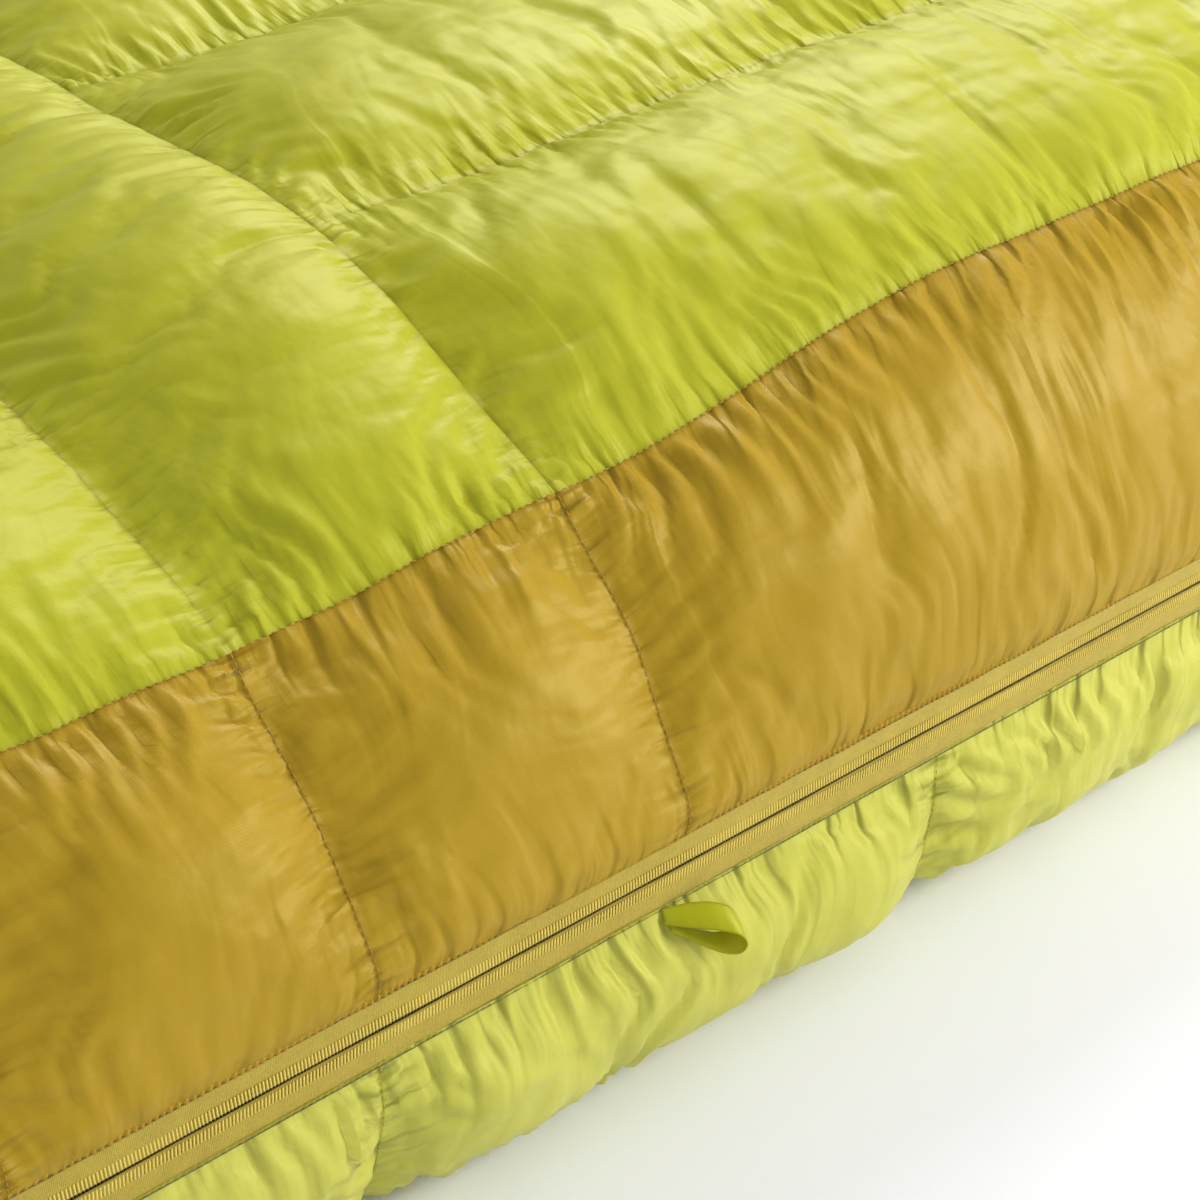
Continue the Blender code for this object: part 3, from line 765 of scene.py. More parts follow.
# Painted light: the base wears a lighter, paler copy of the top's lime nylon, brightened to stand in for the
# highlights, floor bounce and light through the cloth on the base.
LIT_BASE_LIME = nylon(
    "lit_base_lime_nylon", (0.59, 0.575, 0.115, 1), (0.49, 0.475, 0.060, 1), (0.34, 0.33, 0.02, 1), 0.44,
    pleat=1.4, tint=LIME_SHINE,
)

# --- The sewn shells ---

SHELL_FULLNESS = 1.06
LONG_CHAMBER = 0.5
BAND_CALM = 0.045
BASE_CALM = 0.02
TOP_HEAD_HEIGHT = 0.135
BASE_HEAD_HEIGHT = 0.09
CHEST_LINES = [CROWN_HALF] + CHEST_SEAMS[1:-1] + [-CROWN_HALF]


def foot_stops():
    """Cross seams of the side band round the foot, as distances along the path."""
    corner = [PATH_STOPS[1] + CORNER_RUN * k / 2 for k in (1, 2)]
    middle = [PATH_STOPS[2] + FOOT_RUN * k / 4 for k in (1, 2, 3, 4)]
    last = [PATH_STOPS[3] + CORNER_RUN * k / 2 for k in (1, 2)]
    return corner + middle + last


def band_stops():
    zip_side = [0.0] + [path_of_y(1, y) for y in LEG_SEAMS]
    fold_side = [path_of_y(-1, y) for y in reversed(LEG_SEAMS[:-1])] + [PATH_STOPS[5]]
    return zip_side + foot_stops() + fold_side


def base_stops():
    zip_side = [0.0] + [path_of_y(1, y) for y in reversed(BASE_SEAMS)]
    foot = [PATH_STOPS[1] + CORNER_RUN / 2, (PATH_STOPS[2] + PATH_STOPS[3]) / 2]
    foot.append(PATH_STOPS[3] + CORNER_RUN / 2)
    fold_side = [path_of_y(-1, y) for y in BASE_SEAMS]
    return zip_side + foot + fold_side + [PATH_STOPS[5]]


def declare_shell(flat):
    """Works out a shell's flat size cut fuller than the space that it covers; the result is thrown away."""
    flat = tuple(side * SHELL_FULLNESS for side in flat)


def make_side_band():
    cloth = Cloth()
    stops = band_stops()
    for k, (start, end) in enumerate(zip(stops, stops[1:])):
        size = (SIDE.length, end - start)
        kind = "band_long" if end - start > LONG_CHAMBER else "band_leg"
        grid, shares = quilted_cell(
            band_surface, (0, 1), (start, end), size, kind, k, calm=BAND_CALM
        )
        cloth.add(grid, shares, size, start=(0, start))
    settle(cloth)
    piece = cloth.build("side_band_shell", OCHRE, "top_layer")
    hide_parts("side_band")
    declare_shell((SIDE.length, stops[-1]))


def make_leg_crown():
    cloth = Cloth()
    width = 2 * CROWN_HALF
    foot_end = FOOT_Y + BOUNDARY_INSET
    stops = LEG_SEAMS + [foot_end]
    for k, (high, low) in enumerate(zip(stops, stops[1:])):
        size = (width, high - low)
        loft = 0.75 if low == foot_end else 1.0
        grid, shares = quilted_cell(
            crown_surface, (0, 1), (high, low), size, "crown_leg", k, loft=loft, turn=True
        )
        cloth.add(grid, shares, size, start=(0, -high))
    settle(cloth)
    piece = cloth.build("leg_crown_shell", LIME, "top_layer")
    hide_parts("top_shell_legs")
    declare_shell((width, ZONE_Y - foot_end))


def make_chest_crown():
    cloth = Cloth()
    for k, (first, last) in enumerate(zip(CHEST_LINES, CHEST_LINES[1:])):
        size = (first - last, HEAD_Y - ZONE_Y)
        shares_range = (crown_share(first), crown_share(last))
        grid, shares = quilted_cell(
            crown_surface, shares_range, (HEAD_Y, ZONE_Y), size, "crown_long", k
        )
        cloth.add(grid, shares, size, start=(CROWN_HALF - first, 0))
    settle(cloth)
    piece = cloth.build("chest_crown_shell", LIME, "top_layer")
    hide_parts("top_shell_chest")
    declare_shell((2 * CROWN_HALF, HEAD_Y - ZONE_Y))


def make_base_side():
    cloth = Cloth()
    stops = base_stops()
    for k, (start, end) in enumerate(zip(stops, stops[1:])):
        size = (BASE_SIDE.length, end - start)
        grid, shares = quilted_cell(
            base_surface, (0, 1), (start, end), size, "base_side", k,
            out=-1, calm=BASE_CALM,
        )
        cloth.add(grid, shares, size, flip=True, start=(0, start))
    settle(cloth)
    piece = cloth.build("base_side_shell", LIT_BASE_LIME, "base_layer")
    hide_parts("base_side")
    declare_shell((BASE_SIDE.length, stops[-1]))


def top_head_surface(first, last):
    """The end wall of one top chamber at the head, from the liner (0) up to the crown (1)."""

    def side_curve(v, side):
        point = band_surface(v, 0.0 * v)
        return side * point[..., 0], point[..., 2]

    def crown_height(x):
        return crown_surface(crown_share(x), HEAD_Y + 0 * x)[..., 2]

    def surface(u, v):
        u, v = np.broadcast_arrays(u, v)
        if abs(first) > CROWN_HALF or abs(last) > CROWN_HALF:
            side = 1 if first > 0 else -1
            edge_x, edge_z = side_curve(v, side)
            inner_z = LINER_TOP + (crown_height(side * CROWN_HALF + 0 * v) - LINER_TOP) * v
            share = u if side > 0 else 1 - u
            x = edge_x + (side * CROWN_HALF - edge_x) * share
            z = edge_z + (inner_z - edge_z) * share
        else:
            x = first + (last - first) * u
            z = LINER_TOP + (crown_height(x) - LINER_TOP) * v
        return np.stack([x, HEAD_Y + 0 * x, z], -1)

    return surface


def make_top_head_wall():
    """The fabric that closes the top chambers at the head, above the mouth."""
    lines = [HALF_WIDTH] + CHEST_LINES + [-HALF_WIDTH]
    cloth = Cloth()
    for k, (first, last) in enumerate(zip(lines, lines[1:])):
        size = (first - last, TOP_HEAD_HEIGHT)
        grid, shares = quilted_cell(
            top_head_surface(first, last), (0, 1), (0, 1), size, "band_leg", k, loft=0.9
        )
        cloth.add(grid, shares, size, start=(HALF_WIDTH - first, 0))
    settle(cloth)
    piece = cloth.build("top_head_wall", LIME, "top_layer")
    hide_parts("top_head_hem")
    declare_shell((2 * HALF_WIDTH, TOP_HEAD_HEIGHT))


def make_base_head_wall():
    """The fabric that closes the base's chambers at the head, below the mouth."""

    def base_head(u, v):
        u, v = np.broadcast_arrays(u, v)
        edge = base_surface(v, 0.0 * v)
        return np.stack([edge[..., 0] * (1 - 2 * u), HEAD_Y + 0 * u, edge[..., 2]], -1)

    cloth = Cloth()
    count = 3
    for k in range(count):
        size = (2 * TAPE_X / count, BASE_HEAD_HEIGHT)
        u_range = (k / count, (k + 1) / count)
        grid, shares = quilted_cell(
            base_head, u_range, (0, 1), size, "base_side", k + 4, out=-1, turn=True
        )
        cloth.add(grid, shares, size, flip=True, start=(u_range[0], 0))
    settle(cloth)
    piece = cloth.build("base_head_wall", LIT_BASE_LIME, "base_layer")
    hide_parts("base_head_hem")
    declare_shell((2 * TAPE_X, BASE_HEAD_HEIGHT))


# --- Liners and the ground sheet ---

LINER_GAP = 0.0006
LINER_TOP = BAND_TOP + LINER_GAP
LINER_BASE = BAND_BOTTOM - LINER_GAP
LINER_INSET = 0.0225


def plan_half(y, inset):
    """Half width of the plan at this inset and place, rounded at the foot."""
    radius = max(CORNER_RADIUS - inset, SMALLEST_RADIUS)
    deep = np.clip((FOOT_Y + inset + radius - y) / radius, 0, 1)
    return HALF_WIDTH - inset - radius + radius * np.sqrt(np.maximum(1 - deep * deep, 0))


def flat_sheet(name, material, body, node, inset, level, seams, billow, sign):
    """A quilted flat piece inside the plan; billow lifts it by sign between the seams."""
    low = FOOT_Y + inset
    deep = (1 - np.cos(np.linspace(0, math.pi / 2, 24))) * (CORNER_RADIUS - inset)
    straight = np.linspace(low + CORNER_RADIUS - inset, HEAD_Y, 240)
    y = np.concatenate([low + deep[:-1], straight])[:, None]
    share = np.linspace(-1, 1, 96)[None, :]
    half = plan_half(y, inset)
    x = half * share
    y = y + 0 * x
    stops = np.array([low] + sorted(seams) + [HEAD_Y])
    cell = np.clip(np.searchsorted(stops, y[:, 0], side="right") - 1, 0, len(stops) - 2)
    start, end = stops[cell][:, None], stops[cell + 1][:, None]
    puff = np.sqrt(np.clip(np.sin(math.pi * (y - start) / (end - start)), 0, 1))
    rim = np.clip((half - np.abs(x)) / 0.10, 0, 1)
    points = np.stack([x, y, level + 0 * x], -1)
    flat = points.reshape(-1, 3)
    gather = waves(flat, 41, 0.035).reshape(x.shape) * 0.10 + waves(flat, 43, 0.11).reshape(x.shape) * 0.12
    points[..., 2] += sign * billow * puff * smooth_step(rim) * np.clip(0.85 + gather, 0, 1.1)
    cloth = Cloth()
    shares = (np.broadcast_to((y - low) / (HEAD_Y - low), x.shape), (share + 1) / 2 + 0 * x)
    cloth.add(points, shares, (HEAD_Y - low, 2 * inset + 0.6), flip=sign > 0)
    piece = cloth.build(name, material, body)
    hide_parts(node)
    return piece


def make_flat_pieces():
    top = flat_sheet(
        "top_liner_sheet", LINER, "top_layer", "top_liner",
        LINER_INSET, LINER_TOP, LEG_SEAMS, 0.006, -1,
    )
    base = flat_sheet(
        "base_liner_sheet", LINER, "base_layer", "base_liner",
        LINER_INSET, LINER_BASE, BASE_SEAMS, 0.006, 1,
    )
    ground = flat_sheet(
        "ground_sheet", LIT_BASE_LIME, "base_layer", "base_shell", BASE_OUTLINE[-1][0], 0.0025,
        BASE_SEAMS, 0.002, -1,
    )


# --- Down chambers and baffle walls, which the shells cover ---

FILL_DEPTH = 0.008
WALL_DEPTH = 0.0065
BASE_WALL_DEPTH = 0.0060
HEAD_GAP = 0.002
CHAMBER_FLOOR = LINER_TOP + 0.001


def loft_piece(name, sections, material, body):
    """A closed solid through sections of equal point counts."""
    count = len(sections[0])
    points = np.concatenate([np.array(section) for section in sections])
    faces = ring_faces(count, len(sections))
    last = (len(sections) - 1) * count
    faces.append(tuple(reversed(range(count))))
    faces.append(tuple(range(last, last + count)))
    mesh = bpy.data.meshes.new(name)
    mesh.from_pydata([tuple(map(float, p)) for p in points], [], faces)
    piece = add_piece(name, mesh, material, body)
    mesh.set_sharp_from_angle(angle=math.radians(50))
    return piece


def seam_height(inset):
    """Height of the seam level at an inset, up the side and then over the crown."""
    insets, heights = SIDE(np.linspace(0.12, 1, 40))
    if inset < BOUNDARY_INSET:
        return float(np.interp(inset, insets, heights))
    return float(np.interp(inset, CROWN_INSET, CROWN_HEIGHT))


def top_section(y, lift, inner):
    """Ring of points across the top layer at y, inside the shells by inner."""
    foot_inset = y - FOOT_Y
    insets, heights = SIDE(np.linspace(0, 1, 9))
    over_crown = np.linspace(0.10, 0.36, 11)
    insets = np.concatenate([insets, over_crown])
    heights = np.concatenate([heights, np.interp(over_crown, CROWN_INSET, CROWN_HEIGHT)])
    usable = min(foot_inset - 0.004, 0.37)
    insets = np.minimum(insets + inner, usable)
    drop = np.array([lift_at(y, inset) for inset in insets])
    lift = lift * min(1.0, max(0.0, foot_inset - 0.05) / 0.08)
    heights = np.minimum(heights, seam_height(usable)) + drop + lift - inner
    heights = np.maximum(heights, LINER_TOP + 0.002)
    zip_side = [(float(plan_half(y, i)), y, h) for i, h in zip(insets, heights)]
    fold_side = [(-x, y, h) for x, y, h in reversed(zip_side)]
    floor = [(fold_side[-1][0], y, CHAMBER_FLOOR), (zip_side[0][0], y, CHAMBER_FLOOR)]
    return zip_side + fold_side + floor


def wall_piece(name, ring, axis, body, node):
    """A thin wall of netting through a ring of points square to axis."""
    half = 0.0003
    sections = []
    for side in (-half, half):
        sections.append([tuple(c + (side if k == axis else 0) for k, c in enumerate(p)) for p in ring])
    piece = loft_piece(name, sections, NETTING, body)
    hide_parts(node)


def chamber(name, sections, body, node):
    """The down of one chamber."""
    piece = loft_piece(name, sections, DOWN, body)
    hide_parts(node)


def puffed(low, high, section, steps=7, lift=0.010):
    """Sections between two seams, fuller towards the middle."""
    margin = 0.0012
    rings = []
    for k in range(steps):
        share = k / (steps - 1)
        at = low + margin + (high - low - 2 * margin) * share
        rings.append(section(at, lift * math.sin(math.pi * share) ** 0.6, FILL_DEPTH))
    return rings


def chest_section(x, lift, inner):
    """Ring of points along the chest at x, from the zone seam to the head."""
    ends = np.linspace(ZONE_Y + 0.0015, HEAD_Y - HEAD_GAP, 24)
    top = crown_surface(np.full(24, crown_share(x)), ends)[:, 2] - inner
    rise = np.minimum(1, np.minimum(ends - ends[0], ends[-1] - ends) / 0.06)
    top = np.maximum(top + lift * rise, LINER_TOP + 0.003)
    line = [(x, float(y), float(z)) for y, z in zip(ends, top)]
    return line + [(x, float(ends[-1]), CHAMBER_FLOOR), (x, float(ends[0]), CHAMBER_FLOOR)]


def side_column(side):
    """Ring across the chest's side chamber at y, between the band and the boundary wall."""

    def ring(y, _, inner):
        points = band_surface(np.linspace(0.02, 0.98, 9), np.full(9, path_of_y(1, y)))
        line = [(side * (float(p[0]) - inner), y, float(p[2]) - inner / 2) for p in points]
        wall = side * (CROWN_HALF + 0.001)
        back = [(wall, y, line[-1][2]), (wall, y, CHAMBER_FLOOR), (line[0][0], y, CHAMBER_FLOOR)]
        return line + back

    return ring


def base_section(y, _, inner):
    """Ring across the base at y, inside its side shells."""
    usable = min(y - FOOT_Y - 0.004, 0.37)
    insets, heights = BASE_SIDE(np.linspace(0.04, 0.96, 7))
    insets = np.minimum(insets + inner, usable)
    zip_side = [(float(plan_half(y, i)), y, float(max(h, 0.004))) for i, h in zip(insets, heights)]
    limit = max(0.004, 0.060 - 0.9 * (usable - LINER_INSET))
    zip_side = [(x, y, max(h, limit)) for x, y, h in zip_side]
    return zip_side + [(-x, y, h) for x, y, h in reversed(zip_side)]


def make_insides():
    for k, (high, low) in enumerate(zip(LEG_SEAMS, LEG_SEAMS[1:]), 1):
        chamber(f"leg_down_{k}", puffed(low, high, top_section), "top_layer", f"leg_fill_{k}")
        ring = top_section(low, 0, WALL_DEPTH)
        wall_piece(f"leg_wall_{k}", ring, 1, "top_layer", f"leg_baffle_{k}")
    wall_piece("zone_wall", top_section(ZONE_Y, 0, WALL_DEPTH), 1, "top_layer", "zone_baffle")
    chamber("foot_down", puffed(FOOT_Y + 0.036, LEG_SEAMS[-1], top_section), "top_layer", "foot_fill")
    for k, (first, last) in enumerate(zip(CHEST_LINES, CHEST_LINES[1:]), 1):
        sections = puffed(last, first, chest_section)
        chamber(f"chest_down_{k}", sections, "top_layer", f"chest_fill_{k}")
    for k, x in enumerate(CHEST_LINES, 1):
        ring = chest_section(x, 0, WALL_DEPTH)
        wall_piece(f"chest_wall_{k}", ring, 0, "top_layer", f"chest_baffle_{k}")
    for side, word in ((1, "zip"), (-1, "fold")):
        sections = puffed(ZONE_Y, HEAD_Y - HEAD_GAP, side_column(side), lift=0)
        chamber(f"chest_side_down_{word}", sections, "top_layer", f"chest_side_fill_{word}")
    stops = [FOOT_Y + 0.05] + BASE_SEAMS + [HEAD_Y - HEAD_GAP]
    for k, (low, high) in enumerate(zip(stops, stops[1:]), 1):
        chamber(f"base_down_{k}", puffed(low, high, base_section), "base_layer", f"base_fill_{k}")
    for k, y in enumerate(BASE_SEAMS, 1):
        ring = base_section(y, 0, BASE_WALL_DEPTH)
        wall_piece(f"base_wall_{k}", ring, 1, "base_layer", f"base_baffle_{k}")


# --- Lines along the zip: tapes, coils, gathers, draft tube ---

TOOTH_PITCH = 0.00130
COIL_DEPTH = 0.0027
FOLD_CLEARANCE = 0.03
DRAFT_TUBE_X = 0.3175


def zip_line(inset, start_y, step, end_s=None):
    """Evenly spaced points, tangents and outward directions along the zip's path."""
    first = HEAD_Y - start_y
    last = PATH_STOPS[4] if end_s is None else end_s
    s = np.linspace(first, last, 4000)
    x, y = plan_point(s, inset)
    steps = np.hypot(np.diff(x), np.diff(y))
    at = np.concatenate([[0], np.cumsum(steps)])
    count = int(at[-1] / step) + 1
    want = np.linspace(0, at[-1], count)
    x, y = np.interp(want, at, x), np.interp(want, at, y)
    tangent = np.stack([np.gradient(x), np.gradient(y)], -1)
    tangent /= np.linalg.norm(tangent, axis=1, keepdims=True)
    out = np.stack([-tangent[:, 1], tangent[:, 0]], -1)
    return np.stack([x, y], -1), tangent, out, want


def swept(name, section, inset, start_y, step, material, body, wave=None, closed=True):
    """A strip along the zip; section holds (outward, height) points round its edge."""
    middle, _, out, along = zip_line(inset, start_y, step)
    section = np.array(list(section) + [section[0]] if closed else section)
    offset = section[None, :, 0] + np.zeros((len(middle), 1))
    height = section[None, :, 1] + np.zeros((len(middle), 1))
    if wave is not None:
        more_out, more_up = wave(along, section)
        offset, height = offset + more_out, height + more_up
    x = middle[:, None, 0] + out[:, None, 0] * offset
    y = middle[:, None, 1] + out[:, None, 1] * offset
    grid = np.stack([x, y, height], -1)
    shares = (
        np.linspace(0, 1, len(middle))[:, None] + 0 * x,
        np.linspace(0, 1, len(section))[None, :] + 0 * x,
    )
    cloth = Cloth()
    around = float(np.linalg.norm(np.diff(section, axis=0), axis=1).sum())
    cloth.add(grid, shares, (along[-1], around))
    if closed:
        for row, flip in ((0, False), (-1, True)):
            cap = np.stack([grid[row][: len(section) // 2 + 1], grid[row][::-1][: len(section) // 2 + 1]])
            cap_shares = (np.zeros(cap.shape[:2]), np.zeros(cap.shape[:2]))
            cloth.add(cap, cap_shares, (0.01, 0.01), flip=flip)
    return cloth.build(name, material, body, weld=0.00002)


def ticks(name, inset, start_y, low, high, width, depth, pitch, material, body, lean=0.0):
    """A row of small rounded bars standing across the zip, pitch apart."""
    middle, tangent, out, _ = zip_line(inset, start_y, pitch, PATH_STOPS[4] - FOLD_CLEARANCE)
    ring = [(-0.5, 0.0), (-0.32, 0.8), (0.0, 1.0), (0.32, 0.8), (0.5, 0.0)]
    levels = ((low, 0.55), (low + 0.0003, 1.0), (high - 0.0003, 1.0), (high, 0.55))
    points = []
    for level, size in levels:
        for along, rise in ring:
            shift = width * along * size + lean * (level - low)
            up = depth * rise * size
            x = middle[:, 0] + tangent[:, 0] * shift + out[:, 0] * up
            y = middle[:, 1] + tangent[:, 1] * shift + out[:, 1] * up
            points.append(np.stack([x, y, np.full(len(x), level)], -1))
    points = np.stack(points, 1)
    count = points.shape[1]
    base = np.arange(len(points)) * count
    quads = np.array(ring_faces(len(ring), len(levels)))[None] + base[:, None, None]
    caps = [tuple(b + i for i in (4, 3, 2, 1, 0)) for b in base]
    caps += [tuple(b + 15 + i for i in (0, 1, 2, 3, 4)) for b in base]
    mesh = bpy.data.meshes.new(name)
    mesh.from_pydata(points.reshape(-1, 3).tolist(), [], quads.reshape(-1, 4).tolist() + caps)
    return add_piece(name, mesh, material, body)


def strip_section(low, high, thickness):
    """Edge points of a thin upright strip from low to high, with narrowed ends."""
    t = thickness / 2
    rise = 0.25 * thickness
    near = np.array([0, 0.0003])
    middle = np.linspace(low + 0.002, high - 0.002, 4)
    steps = np.concatenate([low + rise + near, middle, high - rise - near[::-1]])
    outer = [(t, float(z)) for z in steps]
    inner = [(-t, float(z)) for z in reversed(steps)]
    return [(0.0, low)] + outer + [(0.0, high)] + inner


def make_tapes():
    tape_inset = TAPE_INSET + 0.0005
    gap = 0.00065
    for word, side, edge, body in (
        ("upper", 1, BAND_TOP, "top_layer"),
        ("lower", -1, BAND_BOTTOM, "base_layer"),
    ):
        start_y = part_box(f"{word}_tape")[1].y
        low, high = sorted((ZIP_Z + side * gap, edge))

        def wave(along, section):
            slow = 0.00012 * np.sin(along / 0.021 + side)[:, None]
            slow = slow + 0.00008 * np.sin(along / 0.0093)[:, None]
            return slow * np.ones((1, len(section))), 0

        tape = swept(
            f"{word}_tape_weave", strip_section(low, high, 0.0009), tape_inset, start_y, 0.004,
            TAPE, body, wave,
        )
        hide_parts(f"{word}_tape")
        near, far = ZIP_Z + side * 0.0012, ZIP_Z + side * 0.0054
        near, far = sorted((near, far))
        row = ticks(
            f"{word}_tape_threads", TAPE_INSET, start_y, near, far, 0.00078, 0.00045, TOOTH_PITCH,
            THREAD, body, lean=0.06 * side,
        )
        coil_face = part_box(f"{word}_coil")[1]
        inset = HALF_WIDTH - coil_face.x + COIL_DEPTH
        near, far = sorted((ZIP_Z + side * 0.0007, ZIP_Z + side * 0.0036))
        coil = ticks(
            f"{word}_coil_teeth", inset, coil_face.y, near, far, 0.00085, COIL_DEPTH, TOOTH_PITCH,
            COIL, body,
        )
        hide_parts(f"{word}_coil")


def make_gathers():
    """Narrow gathered edges where the band and the base are sewn over the tapes."""

    def ruffle(seed, depth):
        def wave(along, section):
            rng = np.random.default_rng(seed)
            count = int(along[-1] / 0.012) + 4
            knots = np.linspace(0, along[-1], count)
            phase = np.interp(along, knots, rng.uniform(-2.5, 2.5, count))
            size = np.interp(along, knots, rng.uniform(0.45, 1.25, count))
            turn = 2 * math.pi * along / 0.0027 + phase
            middle = np.sin(np.linspace(0, math.pi, len(section)))[None, :]
            wobble = 0.0004 * np.sin(along / 0.0071 + phase)[:, None]
            return depth * (np.sin(turn) * size)[:, None] * middle, wobble * middle

        return wave

    # The base's gather wears a darker, more olive lime than the base: painted shade for its crease along the
    # lower tape.
    for name, edge, side, body, material, node_end, depth in (
        ("band_edge_gather", BAND_TOP, 1, "top_layer", OCHRE_EDGE, "upper_tape", 0.00045),
        ("base_edge_gather", BAND_BOTTOM, -1, "base_layer", LIME_EDGE_SHADE, "lower_tape", 0.0002),
    ):
        lap = 0.0006 if side > 0 else 0.0003
        wide = 0.0034 if side > 0 else 0.0018
        proud = 0.0013 if side > 0 else 0.0009
        turns = np.linspace(0, math.pi, 8)
        section = [
            (proud * math.sin(t) - 0.0004, edge + side * (wide * (1 - math.cos(t)) / 2 - lap)) for t in turns
        ]
        piece = swept(
            name, section, TAPE_INSET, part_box(node_end)[1].y, 0.00065, material, body,
            ruffle(7 + side, depth), closed=False,
        )


def make_draft_tube():
    low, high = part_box("draft_tube")
    half_high = (high.z - low.z) / 2
    half_wide = 0.0225
    turns = np.linspace(0, 2 * math.pi, 25)[:-1]
    section = [
        (half_wide * math.cos(t), ZIP_Z + half_high * math.sin(t) * (0.86 + 0.14 * abs(math.sin(t))))
        for t in turns
    ]

    def wave(along, section):
        dimple = -0.0012 * (0.5 + 0.5 * np.sin(2 * math.pi * along / 0.019 + 1.3 * np.sin(along / 0.031)))
        way = (section - np.array([0, ZIP_Z])) / np.array([half_wide, half_high])
        return dimple[:, None] * way[None, :, 0], dimple[:, None] * way[None, :, 1]

    tube = swept(
        "draft_tube_padded", section, HALF_WIDTH - DRAFT_TUBE_X, high.y, 0.004, LINER,
        "top_layer", wave,
    )
    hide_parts("draft_tube")


def make_fold_gusset():
    """The strip between the layers along the fold, built as one still piece on neither layer."""
    low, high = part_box("fold_gusset")
    rows = int((high.y - low.y) / 0.0025)
    y = np.linspace(low.y, high.y, rows)[:, None]
    z = np.linspace(low.z, high.z, 13)[None, :]
    share = (z - low.z) / (high.z - low.z)
    bulge = 0.0015 * np.sin(math.pi * share)
    ripple = 0.0005 * np.sin(2 * math.pi * y / 0.0062 + 2.0 * np.sin(y / 0.023)) * np.sin(math.pi * share)
    x = -TAPE_X - bulge + ripple + 0 * y
    grid = np.stack([x, y + 0 * z, z + 0 * y], -1)
    cloth = Cloth()
    shares = (np.linspace(0, 1, rows)[:, None] + 0 * x, share + 0 * x)
    cloth.add(grid, shares, (high.y - low.y, high.z - low.z), flip=True)
    piece = cloth.build("fold_gusset_strip", OCHRE, None)
    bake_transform(piece)
    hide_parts("fold_gusset")


# --- Pad loops ---


LOOP_ANCHOR = (0.3672, -0.0640, 0.0822)
LOOP_SCALE = (0.92, 0.80, 0.80)
LOOP_SHIFT = (0, 0.0045, 0)
LOOP_BACK_EDGE = (
    (0.3672, -0.0650, 0.0828), (0.3705, -0.0560, 0.0838), (0.3750, -0.0460, 0.0832),
    (0.3795, -0.0375, 0.0795), (0.3812, -0.0345, 0.0730), (0.3800, -0.0360, 0.0665),
    (0.3775, -0.0430, 0.0650), (0.3730, -0.0530, 0.0700), (0.3690, -0.0630, 0.0770),
)
LOOP_FRONT_EDGE = (
    (0.3695, -0.0655, 0.0765), (0.3765, -0.0575, 0.0752), (0.3835, -0.0480, 0.0738),
    (0.3885, -0.0395, 0.0705), (0.3900, -0.0362, 0.0640), (0.3880, -0.0385, 0.0582),
    (0.3840, -0.0450, 0.0592), (0.3780, -0.0540, 0.0655), (0.3715, -0.0635, 0.0730),
)


def smooth_path(points, count=60):
    points = np.array(points)
    at = np.linspace(0, len(points) - 1, count)
    known = np.arange(len(points))
    path = np.stack([np.interp(at, known, column) for column in points.T], 1)
    for _ in range(14):
        path[1:-1] = (path[:-2] + 2 * path[1:-1] + path[2:]) / 4
    return path


def make_pad_loop(node, side):
    """A satin ribbon caught in the seam under the zip, folded back on itself."""
    back, front = smooth_path(LOOP_BACK_EDGE), smooth_path(LOOP_FRONT_EDGE)
    across = np.linspace(0, 1, 12)[None, :, None]
    grid = back[:, None] * (1 - across) + front[:, None] * across
    anchor = np.array(LOOP_ANCHOR)
    grid = anchor + (grid - anchor) * np.array(LOOP_SCALE) + np.array(LOOP_SHIFT)
    grid[..., 0] += 0.0007 * np.sin(math.pi * across[..., 0])
    grid[..., 0] *= side
    cloth = Cloth()
    shares = (
        np.linspace(0, 1, 60)[:, None] + 0 * grid[..., 0],
        across[..., 0] + 0 * grid[..., 0],
    )
    cloth.add(grid, shares, (0.08, 0.012), flip=side < 0)
    piece = cloth.build(f"{node}_ribbon", RIBBON, "base_layer")
    thick = piece.modifiers.new("cloth_thickness", "SOLIDIFY")
    thick.thickness = 0.0006
    thick.offset = 0
    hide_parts(node)


# --- Stitching ---

STITCH_PITCH = 0.0030
STITCH_LENGTH = 0.0022
STITCH_RADIUS = 0.00021


def stitch_row(points, normals, pitch, length, radius):
    """Points of small thread stitches along a line, sixteen for each."""
    steps = np.linalg.norm(np.diff(points, axis=0), axis=1)
    at = np.concatenate([[0], np.cumsum(steps)])
    starts = np.arange(pitch / 2, at[-1] - pitch / 2, pitch)

    def read(values, where):
        return np.stack([np.interp(where, at, column) for column in values.T], -1)

    first, last = read(points, starts), read(points, starts + length)
    normal = read(normals, starts)
    normal /= np.linalg.norm(normal, axis=1, keepdims=True)
    along = last - first
    along /= np.maximum(np.linalg.norm(along, axis=1, keepdims=True), 1e-9)
    side = np.cross(normal, along)
    rings = []
    for share, size, lift in ((0.0, 0.35, -0.6), (0.25, 1.0, 0.5), (0.75, 1.0, 0.5), (1.0, 0.35, -0.6)):
        centre = first + (last - first) * share + normal * (radius * lift)
        for turn in (0.25, 0.75, 1.25, 1.75):
            a = math.pi * turn
            rings.append(centre + (side * math.cos(a) + normal * math.sin(a)) * (radius * size))
    return np.stack(rings, 1)


